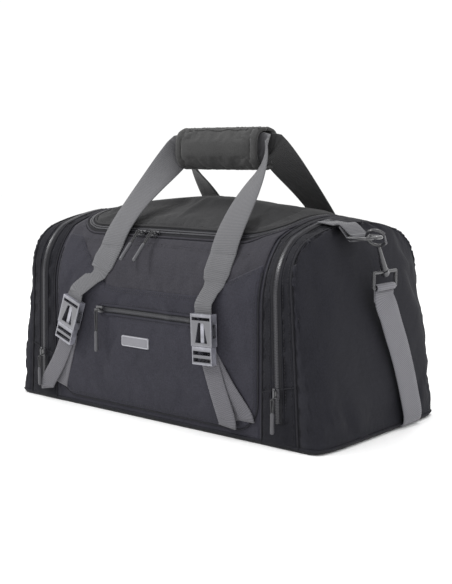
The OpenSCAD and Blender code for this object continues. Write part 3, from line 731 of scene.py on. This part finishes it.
def build_main_zip():
    for name, grow, body, node in (("zip_tape_body", 3.4, "bag", "main_zip_body_side"),
                                   ("zip_tape_lid", -2.8, "lid", "main_zip_lid_side")):
        p, n = path_on_plan(grow, 0.3)
        sweep(name, p, n, flat_profile(5.4, 0.7), "tape", body, "zip_tape", replaces=[node])
    p, n = path_on_plan(1.5, 0.7)
    zip_teeth("zip_coil_body", p, n, "bag", width=2.8)
    p, n = path_on_plan(-1.0, 0.7)
    zip_teeth("zip_coil_lid", p, n, "lid", width=2.8)
    p, n = path_on_plan(6.4, 0.9)
    sweep("zip_hem_body", p, n, round_profile(1.3), "yoke", "bag", "yoke_fabric")
    p, n = path_on_plan(-5.6, 1.0)
    sweep("zip_hem_lid", p, n, round_profile(1.4), "lid", "lid", "lid_fabric")
    xs = steps(-160, 160, 60)
    p = [on_plan(x, ZIP_Y - 0.5, 0.5)[0] for x in xs]
    n = [on_plan(x, ZIP_Y - 0.5)[1] for x in xs]
    hinge = sweep("lid_hinge_fold", p, n, flat_profile(9, 1.6), "lid", None, "lid_fabric")
    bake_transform(hinge)


def build_ends():
    # Gussets and end panels take the darker end and gusset cloth: painted shade.
    for side, tag in ((-1, "left"), (1, "right")):
        rows = [[skin_pt(side * x, a, 0.2 + 1.6 * math.sin(math.pi * (x - SEAM_X) / 45))
                 for a in steps(0.0, 2.0, 150)]
                for x in steps(SEAM_X + 0.4, EDGE_X, 14)]
        gusset = sheet(f"{tag}_gusset_cloth", rows, "gusset", "bag", "end_fabric", flip=side < 0,
                       replaces=[f"{tag}_pocket_gusset"])
        hold = rim_of(14, 150, 1)
        hold.update({7 * 150 + j: 1.0 for j in range(150)})
        soften(gusset, hold, pressure=0.1, slack=0.03, cap=0.9)
        thicken(gusset, 2)
        rows = []
        for a in steps(0.0, 0.985, 56):
            rows.append([panel_pt(side, a, f) for f in steps(-90, 90, 64)])
        panel = sheet(f"{tag}_end_cloth", rows, "end", "bag", "end_fabric", flip=side > 0,
                      replaces=[f"{tag}_pocket_panel"])
        soften(panel, rim_of(56, 64, 2), pressure=0.35, slack=0.03, cap=3.5)
        thicken(panel, 2)
        arc = steps(0.0, 2.0, 130)
        for k, (x, r) in enumerate(((SEAM_X + 0.3, 1.0), (EDGE_X + 0.5, 1.3))):
            sweep(f"{tag}_end_piping_{k}", [skin_pt(side * x, a, 0.8) for a in arc],
                  [normal_at(side * x, a) for a in arc], round_profile(r), "piping", "bag", "end_fabric")
        for k, x in enumerate((SEAM_X + 5, EDGE_X - 5)):
            p, n = onto(gusset, [skin_pt(side * x, a, 1) for a in steps(0.02, 1.98, 130)], 0.12)
            stitches(f"{tag}_gusset_stitch_{k}", p, n, "bag", "end_fabric")
        zip_x = side * END_ZIP_X
        arc = steps(0.06, 0.93, 90)
        p = [skin_pt(zip_x, a, 2.0) for a in arc]
        n = [normal_at(zip_x, a) for a in arc]
        sweep(f"{tag}_end_zip_tape", p, n, flat_profile(14, 0.8), "tape", "bag", "zip_tape",
              replaces=[f"{tag}_end_zip"])
        p = [skin_pt(zip_x, a, 2.4) for a in arc]
        zip_teeth(f"{tag}_end_zip_coil", p, n, "bag")
        for k, off in enumerate((-8.2, 8.2)):
            p = [skin_pt(zip_x + off, a, 2.1) for a in arc]
            m = [normal_at(zip_x + off, a) for a in arc]
            sweep(f"{tag}_end_zip_hem_{k}", p, m, round_profile(0.8), "gusset", "bag", "end_fabric")
            p = [skin_pt(zip_x + off * 1.3, a, 2.0) for a in arc]
            stitches(f"{tag}_end_zip_stitch_{k}", p, m, "bag", "end_fabric")
        low = a_at(60)
        p = [skin_pt(side * x, low, 0.9 + 1.2 * math.sin(math.pi * (x - SEAM_X) / 45))
             for x in steps(SEAM_X + 1, EDGE_X, 20)]
        sweep(f"{tag}_gusset_low_seam", p, [(0, -1, 0)] * 20, round_profile(0.6), "piping", "bag",
              "end_fabric")


def panel_reach(z):
    return END_BULGE * (1 - (z / crown_z(EDGE_X)) ** 2) + 3


def panel_pt(side, a, f, d=0.0):
    """End panel: at each height a squared curve from the front seam round to the rear one."""
    y, z = skin(EDGE_X, a, d)
    rim = EDGE_X - lean(EDGE_X, z) + 0.6
    t = math.radians(f)
    power = 0.36 + 0.2 * z / crown_z(EDGE_X)
    bend = abs(math.cos(t)) ** power
    wide = math.copysign(abs(math.sin(t)) ** power, f)
    return np.array([side * (rim + (panel_reach(z) + d) * bend), -y * wide, z])


def build_base():
    corner = [panel_pt(1, 0.0, f) for f in steps(-90, 90, 40)]
    ring = [(p[0], p[1]) for p in corner] + [(-p[0], -p[1]) for p in corner]
    k = len(ring)
    points = []
    for z, inset in ((5.5, 0.0), (3.2, 0.1), (1.4, 1.2), (0.3, 3.6), (0.2, 12)):
        for x, y in ring:
            s = 1 - inset / math.hypot(x, y)
            points.append((x * s, y * s, z))
    faces = [(a, d, c, b) for a, b, c, d in ring_faces(5, k)]
    faces.append(tuple(4 * k + j for j in range(k))[::-1])
    make("base_cloth", points, faces, "base", "bag", "end_fabric", replaces=["base_panel"])
    path = [(x, y, 5.0) for x, y in ring + ring[:1]]
    ups = [(x / math.hypot(x, y), y / math.hypot(x, y), 0) for x, y in ring + ring[:1]]
    # The base piping uses the end cloth, whose darker tone is painted shade.
    sweep("base_piping", path, ups, round_profile(1.2), "end", "bag", "end_fabric", ends=False)


build_body()
build_yoke()
pocket_cloth = build_pocket()
build_lid()
build_main_zip()
build_ends()
build_base()


# ---------- Front zip and badge ----------
def lying(cloth, x, z):
    """The outermost point of a front cloth at x and z."""
    hit, at, _, _ = cloth.ray_cast(Vector((x * MM, -0.3, z * MM)), Vector((0, 1, 0)))
    return np.array(at) / MM if hit else front(x, z, 2.5)


def build_front_zip():
    half = 79
    xs = steps(-half, half, 80)
    top = [lying(pocket_cloth, x, FRONT_ZIP_Z) for x in xs]
    p = [q + np.array([0, -0.5, 0]) for q in top]
    n = [(0, -1, 0)] * len(xs)
    sweep("front_zip_tape", p, n, flat_profile(9, 0.8), "tape", "bag", "zip_tape", replaces=["front_zip"])
    p = [q + np.array([0, -0.4, 0]) for q in p]
    zip_teeth("front_zip_coil", p, n, "bag")
    for k, dz in enumerate((-5.6, 5.6)):
        q = [c + np.array([0, -0.8, dz]) for c in top]
        lip = [(u * 1.6, v) for u, v in round_profile(0.9)]
        sweep(f"front_zip_lip_{k}", q, n, lip, "main", "bag", "main_fabric")
        q = [lying(pocket_cloth, x, FRONT_ZIP_Z + dz * 1.5) for x in xs]
        stitches(f"front_zip_stitch_{k}", q, n, "bag")
    for k, x in enumerate((-half - 1, half + 1)):
        q = [lying(pocket_cloth, x, FRONT_ZIP_Z) + np.array([0, -1.0, dz]) for dz in steps(-6, 6, 8)]
        sweep(f"front_zip_end_{k}", q, [(0, -1, 0)] * 8, flat_profile(4, 1.4), "main", "bag", "main_fabric")


def rounded_outline(width, height, r):
    """Points round a rectangle with rounded corners."""
    outline = []
    for cx, cz, start in ((1, 1, 0), (-1, 1, 90), (-1, -1, 180), (1, -1, 270)):
        for t in range(0, 91, 15):
            g = math.radians(start + t)
            outline.append((cx * (width / 2 - r) + r * math.cos(g), cz * (height / 2 - r) + r * math.sin(g)))
    return outline


def rounded_plate(name, centre, width, height, thick, r, mat, body, slot, replaces=()):
    """A moulded plate that faces the front, with a rounded outline and a soft edge."""
    outline = rounded_outline(width, height, r)
    k = len(outline)
    points, faces = [], ring_faces(4, k)
    for inset, y in ((0, 0), (0, -thick * 0.6), (0.25, -thick * 0.9), (0.8, -thick)):
        for u, v in outline:
            s, t = 1 - 2 * inset / width, 1 - 2 * inset / height
            points.append((centre[0] + u * s, centre[1] + y, centre[2] + v * t))
    faces.append(tuple(3 * k + j for j in range(k)))
    faces.append(tuple(range(k))[::-1])
    return make(name, points, faces, mat, body, slot, replaces=replaces)


def build_badge():
    x, z = -21, 94
    y = min(lying(pocket_cloth, x + dx, z + dz)[1] for dx in (-20, 0, 20) for dz in (-5, 5)) + 0.4
    rounded_plate("badge_plate", (x, y, z), 46, 13.5, 1.6, 2, "badge", "bag", "badge", replaces=["badge"])
    ring = [(x + u, y - 1.6, z + v) for u, v in rounded_outline(43.6, 11.2, 1.4)]
    ring.append(ring[0])
    sweep("badge_bead", ring, [(0, -1, 0)] * len(ring), round_profile(0.4, 8), "badge_rim", "bag", "badge",
          ends=False)


build_front_zip()
build_badge()


# ---------- Webbing ----------
STRAP_OFF = PANEL_T + 1.4
FOLD_A = 0.6
FOLD = skin(HANDLE_X, FOLD_A, STRAP_OFF)
GRIP_Z = (lo("grip_front")[2] + hi("grip_front")[2]) / 2
GRIP_HALF = hi("grip_front")[0] - SHIFT
GRIP_END = GRIP_HALF + 6
WEB_IN = 8


def bezier(a, b, c, d, t):
    a, b, c, d = (np.array(v, float) for v in (a, b, c, d))
    return (1 - t) ** 3 * a + 3 * (1 - t) ** 2 * t * b + 3 * (1 - t) * t * t * c + t ** 3 * d


def leg(foot_x):
    """Centreline and width directions of a handle's leg, from the fold up to the grip."""
    a = np.array([foot_x, FOLD[0] + 0.2, FOLD[1] - 1])
    d = np.array([GRIP_END - 1, -WEB_IN, GRIP_Z])
    b = a + np.array([-1, 12, 38])
    c = np.array([GRIP_END + 9, -WEB_IN - 16, GRIP_Z - 26])
    path, wide = [], []
    for i in range(37):
        t = i / 36
        u = t ** 3.2 * math.pi / 2
        path.append(bezier(a, b, c, d, t))
        wide.append(np.array([math.cos(u), -0.25 * math.sin(2 * u), math.sin(u)]))
    return path, wide


def ribbon(name, path, wide, width, thick, mat, body, slot, **extra):
    """Webbing whose width runs along the given directions."""
    path = np.array(path, float)
    tangent = np.gradient(path, axis=0)
    ups = np.cross(np.array(wide, float), tangent)
    return sweep(name, path, ups, flat_profile(width, thick), mat, body, slot, **extra)


def flip(v, sx=1, sy=1):
    return np.array([v[0] * sx, v[1] * sy, v[2]])


def build_handle(name, sy, feet, mat, node, slot):
    right, right_w = leg(feet[1])
    left, left_w = leg(-feet[0])
    mid = [(x, -WEB_IN, GRIP_Z) for x in steps(GRIP_END - 4, -GRIP_END + 4, 12)]
    path = right + mid + [flip(q, -1) for q in left[::-1]]
    wide = right_w + [np.array([0, 0, 1.0])] * 12 + [flip(w, -1) for w in left_w[::-1]]
    path = [flip(q, 1, sy) + [SHIFT, 0, 0] for q in path]
    wide = [flip(w, 1, sy) for w in wide]
    web = ribbon(name, path, wide, WEB_W, WEB_T, mat, None, slot, replaces=[node])
    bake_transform(web)
    return web


build_handle("front_handle_web", 1, (-HANDLE_X, HANDLE_X), "web", "front_handle", "webbing")
# The rear handle's darker webbing is painted shade.
build_handle("rear_handle_web", -1, (-HANDLE_X, HANDLE_X), "web_painted_shade", "rear_handle", "webbing_dark")


def build_strap_feet():
    buckles = {"left": (-130, 20, -1), "right": (96, 2, 1)}
    for tag, (bx, tilt, side) in buckles.items():
        g = math.radians(side * tilt)
        foot = SHIFT + side * HANDLE_X
        low_x = lerp(foot, bx - 38 * math.sin(g), 0.42)
        top_y = -HALF_D - PANEL_T - BUCKLE_OFF
        down = lambda d: np.array([bx - d * math.sin(g), top_y, BUCKLE_Z + d * math.cos(g)])
        route = [front(lerp(foot, low_x, (max(0, FOLD[1] - z) / 40) ** 1.6), z, outer_d(foot, z) + 1.5)
                 for z in (FOLD[1] + 1.5, 200, 193, 186, 179, 172)]
        path = smooth_path(route + [down(42) + [0, 2, 0], down(36), down(29), down(25)], 60)
        far = run_of(path)
        narrow = [lerp(1.0, WEB_NARROW / WEB_W, float(np.clip((d - 26) / 20, 0, 1))) for d in far]
        ribbon(f"{tag}_upper_web", path, [(1, 0, 0)] * 60, WEB_W, WEB_T, "web", "bag", "webbing",
               scale=narrow, replaces=[f"{tag}_upper_strap"])
        for k, d in enumerate((4, 8, 24)):
            i = int(np.searchsorted(far, d))
            t = (path[i + 1] - path[i - 1]) / np.linalg.norm(path[i + 1] - path[i - 1])
            across = np.array([1, 0, 0]) - t * t[0]
            q = [path[i] + across * u + [0, -1.0, 0] for u in steps(-16, 16, 14)]
            stitches(f"{tag}_box_stitch_{k}", q, [(0, -1, 0)] * 14, "bag", "webbing", mat="thread_pale")
        ax, tx = (147, 126) if side > 0 else (-158, -178)
        foot_pt = np.array([bx + 20 * math.sin(g), -HALF_D - PANEL_T - 2.4, BUCKLE_Z - 20 * math.cos(g)])
        mid_pt = front(lerp(foot_pt[0], ax, 0.5), lerp(foot_pt[2], 26, 0.5), 4.6)
        path = smooth_path([foot_pt, mid_pt, front(ax, 30, 3.6), front(ax + 2 * side, 24, 2.6)], 26)
        ribbon(f"{tag}_lower_web", path, [(1, 0, 0)] * 26, WEB_NARROW, WEB_T, "web_low", "bag", "webbing",
               replaces=[f"{tag}_lower_strap"])
        mid_pt = front(lerp(foot_pt[0], tx, 0.5), lerp(foot_pt[2], 19, 0.5), 6.6)
        tail = smooth_path([foot_pt + [0, -1.9, 2], mid_pt,
                            front(tx, 24, 8.2), front(tx + side * 1, 15, 8.0)], 26)
        ribbon(f"{tag}_tail_web", tail, [(1, 0, 0)] * 26, WEB_NARROW, WEB_T, "web_low", "bag", "webbing")
        back = (tail[-4] - tail[-1]) / np.linalg.norm(tail[-4] - tail[-1])
        hem = [tail[-1] + back * 9 + [x, -1.1, 0] for x in steps(-10, 10, 8)]
        stitches(f"{tag}_tail_stitch", hem, [(0, -1, 0)] * 8, "bag", "webbing", mat="thread_pale")
    for side in (-1, 1):
        zs = steps(FOLD[1] + 1.5, 122, 26)
        path = [flip(front(SHIFT + side * HANDLE_X, z, 1.8), 1, -1) for z in zs]
        # The rear feet use the same darker webbing: painted shade.
        ribbon("rear_foot_" + "lr"[side > 0], path, [(1, 0, 0)] * 26, WEB_W, WEB_T, "web_painted_shade", "bag",
               "webbing_dark", replaces=["rear_anchors"] if side < 0 else ())
        for k, z in enumerate((200, 150, 126)):
            q = [flip(front(SHIFT + side * HANDLE_X + x, z, 2.8), 1, -1) for x in steps(-16, 16, 14)]
            stitches(f"rear_box_stitch_{'lr'[side > 0]}{k}", q, [(0, 1, 0)] * 14, "bag", "webbing_dark",
                     mat="thread_pale")


build_strap_feet()


# ---------- Wrap grip ----------
def build_grip():
    half_d, half_h = 19.4, 22.0
    for tag, sy in (("front", 1), ("rear", -1)):
        section = []
        for t in steps(0, 1, 46):
            # Superellipse from the bottom seam round the outside to the top seam.
            g = -math.pi / 2 + math.pi * t
            c, s = math.cos(g), math.sin(g)
            section.append((-0.8 - (half_d - 0.8) * abs(c) ** 0.62,
                            GRIP_Z + half_h * math.copysign(abs(s) ** 0.72, s)))
        rows = []
        n = 54
        for i in range(n):
            x = SHIFT + lerp(-GRIP_HALF + 0.6, GRIP_HALF - 0.6, i / (n - 1))
            e = min(1.0, min(i, n - 1 - i) / 3)
            pull = 1 - 0.06 * (1 - e) ** 2
            rows.append([(x, sy * (-0.8 + (y + 0.8) * pull), GRIP_Z + (z - GRIP_Z) * pull)
                         for y, z in section])
        wrap = sheet(f"{tag}_grip_wrap", rows, "grip", f"{tag}_handle", "grip", flip=sy > 0,
                     replaces=[f"grip_{tag}"])
        soften(wrap, rim_of(n, 46, 2), pressure=1.6, slack=0.05, cap=2.6, frames=18, bend=1.5)
        thicken(wrap, 4)
        for k, (inset, top) in enumerate(((7, 1), (7, -1))):
            level = GRIP_Z + top * (half_h - inset)
            edge = [(SHIFT + x, sy * -14, level) for x in steps(-GRIP_HALF + 8, GRIP_HALF - 8, 50)]
            p, m = onto(wrap, edge, 0.15)
            stitches(f"{tag}_grip_stitch_{k}", p, m, f"{tag}_handle", "grip")
        for k, x in enumerate((-GRIP_HALF + 6, GRIP_HALF - 6)):
            edge = [(SHIFT + x, sy * -18, z) for z in steps(GRIP_Z - half_h + 8, GRIP_Z + half_h - 8, 16)]
            p, m = onto(wrap, edge, 0.15)
            stitches(f"{tag}_grip_end_stitch_{k}", p, m, f"{tag}_handle", "grip")
        if sy > 0:
            q = [(SHIFT + x, sy * -13, GRIP_Z + half_h) for x in steps(-GRIP_HALF + 9, GRIP_HALF - 1, 50)]
            p, m = onto(wrap, q, 0.5)
            sweep("grip_flap_edge", p, m, flat_profile(3.2, 1.4), "grip", "front_handle", "grip")


build_grip()


# ---------- Sliders and cord pulls ----------
def build_pull(name, body, origin, down, out, cord_l, tube_l):
    """A cord loop through the slider's bridge and a moulded tube on its end."""
    origin, down, out = (np.array(v, float) for v in (origin, down, out))
    side = np.cross(down, out)
    tube_at = origin + down * (cord_l - 1)
    loop = [tube_at - side * 0.9]
    for t in steps(math.pi, 0, 9):
        loop.append(origin + down * (1.5 - 2.4 * math.sin(t)) + side * 1.9 * math.cos(t))
    loop.append(tube_at + side * 0.9)
    path = smooth_path(loop, 40)
    sweep(name + "_cord", path, [out] * 40, round_profile(0.95, 8), "cord", body, "pull", replaces=[name])
    steps_along = [0, 0.5, 1.6, 4, 8, tube_l * 0.5, tube_l - 6, tube_l - 2, tube_l - 0.7, tube_l]
    radius = [1.3, 1.9, 2.3, 2.45, 2.4, 2.3, 2.45, 2.5, 2.1, 0.9]
    path = [tube_at + down * s for s in steps_along]
    sweep(name + "_tube", path, [out] * len(path), round_profile(1.0, 16), "tube", body, "pull", scale=radius)


def build_pulls():
    main_a = ZIP_A - 0.012
    p0, p1 = skin(0, main_a), skin(0, main_a - 0.03)
    slope = math.atan2(p0[1] - p1[1], p0[0] - p1[0])
    down = (0, -math.cos(slope), -math.sin(slope))
    out = (0, -math.sin(slope), math.cos(slope))
    for tag, x in (("main_left", -38), ("main_right", -16)):
        origin = np.array([x, p0[0], p0[1]]) + np.array(down) * 4.8 + np.array(out) * (1.1 + PULL_OFF)
        build_pull(f"{tag}_pull", f"{tag}_pull", origin, down, out, 20, 27)
    y = -HALF_D - PANEL_T - 1.6 - 0.4 - PULL_OFF
    build_pull("front_pull", "front_pull", (-81, y, FRONT_ZIP_Z - 1.6), (0, 0, -1), (0, -1, 0), 26, 26)
    for tag, side in (("left", -1), ("right", 1)):
        x = side * END_ZIP_X
        x -= lean(x, 62)
        y = -HALF_D - 1.6 - 0.4 - PULL_OFF
        build_pull(f"{tag}_end_pull", f"{tag}_end_pull", (x, y, 56), (0, 0, -1), (0, -1, 0), 15, 24)


build_pulls()


# ---------- Shoulder strap and its tabs ----------
RING_Y = -35
LIE, LIFT, REAR_Y = 1.3, 3.4, 150
DROP = [(248, -2, 167), (248, -1.5, 156), (250, 5, 142), (251, 14, 122), (253, 26, 95), (255, 38, 62),
        (256, 48, 32), (256.5, 52, 18), (256, 53.5, 9), (253.5, 54, 3.8), (249, 54, 1.8)]
FLOOR_R = [(244, 54, LIE), (234, 56, LIE), (222, 65, LIE), (213, 82, LIE), (211, 98, LIE), (211, 118, LIE),
           (208, 134, LIE), (199, 145, LIE), (184, REAR_Y, LIE), (164, REAR_Y, LIE)]
FLOOR_MID = [(130, REAR_Y, LIFT), (60, REAR_Y, LIFT), (-10, REAR_Y, LIFT), (-60, REAR_Y, LIE)]
FLOOR_L = [(-184, REAR_Y, LIE), (-199, 145, LIE), (-208, 134, LIE), (-211, 118, LIE), (-211, 40, LIE),
           (-211, -28, LIE), (-214, -44, LIE), (-222, -54, LIE), (-234, -54, LIE), (-244, -54, LIE)]


def strap_face(q):
    if abs(q[0]) > 245 and q[2] > 4:
        return np.array([math.copysign(1, q[0]), 0, 0])
    if abs(q[0]) > 249:
        return np.array([math.copysign(0.6, q[0]), 0, -0.8])
    return np.array([0, 0, -1.0])


def build_shoulder_strap():
    points = DROP + FLOOR_R + FLOOR_MID + FLOOR_L + [(-x, -y, z) for x, y, z in DROP[::-1]]
    path = smooth_path(points, 260)
    path[:, 2] = np.maximum(path[:, 2], LIE)
    path[3:-3] = (path[2:-4] + path[3:-3] * 2 + path[4:-2]) / 4
    face = np.array([strap_face(q) for q in path])
    for _ in range(12):
        face[1:-1] = (face[:-2] + face[1:-1] + face[2:]) / 3
    sweep("shoulder_web", path, face, flat_profile(WEB_W, WEB_T), "web_strap", "bag", "webbing",
          replaces=["shoulder_strap"])


def build_tabs():
    for tag, side in (("left", -1), ("right", 1)):
        bar = np.array([234, RING_Y, 228.0])
        path = []
        for x in (190, 197, 204, EDGE_X - 4):
            p = on_plan(x, RING_Y, 2.4)[0]
            path.append((x, RING_Y, p[2]))
        path.append((EDGE_X + 5, RING_Y, path[-1][2] + 0.6))
        for t in steps(100, -150, 14):
            g = math.radians(t)
            path.append(bar + np.array([math.cos(g), 0, math.sin(g)]) * 3.5)
        path.append((EDGE_X + 4, RING_Y, path[4][2] - 2.2))
        path = smooth_path([(side * p[0], side * p[1], p[2]) for p in path], 70)
        ups = path_ups(path)
        sweep(f"{tag}_tab_web", path, ups, flat_profile(34, 1.6), "web_tab", "bag", "webbing",
              replaces=[f"{tag}_ring_tab"])
        for k, x in enumerate((195, 208)):
            z = on_plan(x, RING_Y, 3.5)[0][2]
            q = [(side * x, side * (RING_Y + y), z) for y in steps(-14, 14, 12)]
            stitches(f"{tag}_tab_stitch_{k}", q, [(0, 0, 1)] * 12, "bag", "webbing", mat="thread_pale")
        eye = np.array([248, -2, 188.0 - 17])
        loop = []
        for t in steps(-60, 240, 14):
            g = math.radians(t)
            loop.append(eye + np.array([math.cos(g), 0, math.sin(g)]) * 3.4)
        loop = [(side * p[0], side * p[1], p[2]) for p in loop + [eye + np.array([-1.2, 0, -16])]]
        loop = smooth_path(loop, 30)
        sweep(f"{tag}_strap_loop", loop, path_ups(loop), flat_profile(WEB_W, 1.6), "web_strap", "bag",
              "webbing")


def path_ups(path):
    """Directions square to a path that lies in a plane of constant y."""
    tangent = np.gradient(path, axis=0)
    return np.stack([-tangent[:, 2], np.zeros(len(path)), tangent[:, 0]], 1)


build_shoulder_strap()
build_tabs()


# ---------- CAD nodes that stay, in better materials ----------
def dress(node, mat, bevel=0.0, segments=2):
    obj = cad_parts[node]
    obj.data.materials.clear()
    obj.data.materials.append(MAT[mat])
    obj.data.shade_smooth()
    obj.data.set_sharp_from_angle(angle=math.radians(32))
    if bevel:
        mod = obj.modifiers.new("soft_edges", "BEVEL")
        mod.width = bevel * MM
        mod.segments = segments
        mod.limit_method = "ANGLE"
        mod.angle_limit = math.radians(40)
        mod.harden_normals = True


for side in ("left", "right"):
    # Buckle housings and forks take the acetal with painted edge highlights; the prongs take the darker copy,
    # painted shade.
    dress(f"{side}_buckle_housing", "buckle", 0.8, 3)
    dress(f"{side}_buckle_fork", "buckle", 0.7, 3)
    for hand in "ab":
        dress(f"{side}_buckle_prong_{hand}", "prong", 0.5)
    for part in ("d_ring", "hook", "hook_gate", "swivel_eye"):
        dress(f"{side}_{part}", "hardware")
    dress(f"{side}_end_slider", "slider", 0.4)
    dress(f"main_{side}_slider", "slider", 0.4)
    dress(f"{side}_inner_wall", "lining")
dress("front_slider", "slider", 0.4)
dress("strap_adjuster", "hardware", 0.8)
dress("base_board", "board")


# ---------- Stage, light and camera ----------
def build_stage():
    mesh = bpy.data.meshes.new("floor")
    mesh.from_pydata([(-6, -6, 0), (6, -6, 0), (6, 6, 0), (-6, 6, 0)], [], [(0, 1, 2, 3)])
    floor = bpy.data.objects.new("floor", mesh)
    bpy.context.scene.collection.objects.link(floor)
    t = Nodes("floor_paper")
    t.shader.inputs["Base Color"].default_value = (0.97, 0.97, 0.97, 1)
    t.shader.inputs["Roughness"].default_value = 0.9
    mesh.materials.append(t.mat)


def area(name, at, target, size, power):
    light = bpy.data.lights.new(name, "AREA")
    light.energy = power
    light.size = size
    light.shape = "DISK"
    obj = bpy.data.objects.new(name, light)
    obj.location = at
    obj.rotation_euler = (Vector(target) - Vector(at)).to_track_quat("-Z", "Y").to_euler()
    bpy.context.scene.collection.objects.link(obj)


build_stage()
world = bpy.data.worlds.new("studio")
world.use_nodes = True
world.node_tree.nodes["Background"].inputs["Color"].default_value = (1, 1, 1, 1)
world.node_tree.nodes["Background"].inputs["Strength"].default_value = 1.04
bpy.context.scene.world = world
area("key", (-1.5, -1.3, 1.7), (0, 0, 0.15), 0.7, 36)
area("front_fill", (1.9, -1.2, 0.9), (0, 0, 0.12), 1.2, 8)
area("top", (0.2, 0.3, 2.2), (0, 0, 0.2), 1.2, 18)
bpy.context.scene.view_settings.view_transform = "Standard"

AZ, EL = math.radians(40.15), math.radians(7.41)
back = Vector((math.sin(AZ) * math.cos(EL), -math.cos(AZ) * math.cos(EL), math.sin(EL)))
right = Vector((math.cos(AZ), math.sin(AZ), 0))
up = back.cross(right)
FOCAL_PX, FRAME_H, SENSOR = 1050, 584, 36
camera = bpy.data.cameras.new("camera")
camera.lens = FOCAL_PX / FRAME_H * SENSOR
camera.sensor_width = SENSOR
camera_at = bpy.data.objects.new("camera", camera)
camera_at.location = Vector((0, 0, 0.130)) + back * 1.347 + right * 0.0099 + up * 0.0139
camera_at.rotation_euler = back.to_track_quat("Z", "Y").to_euler()
bpy.context.scene.collection.objects.link(camera_at)
bpy.context.scene.camera = camera_at
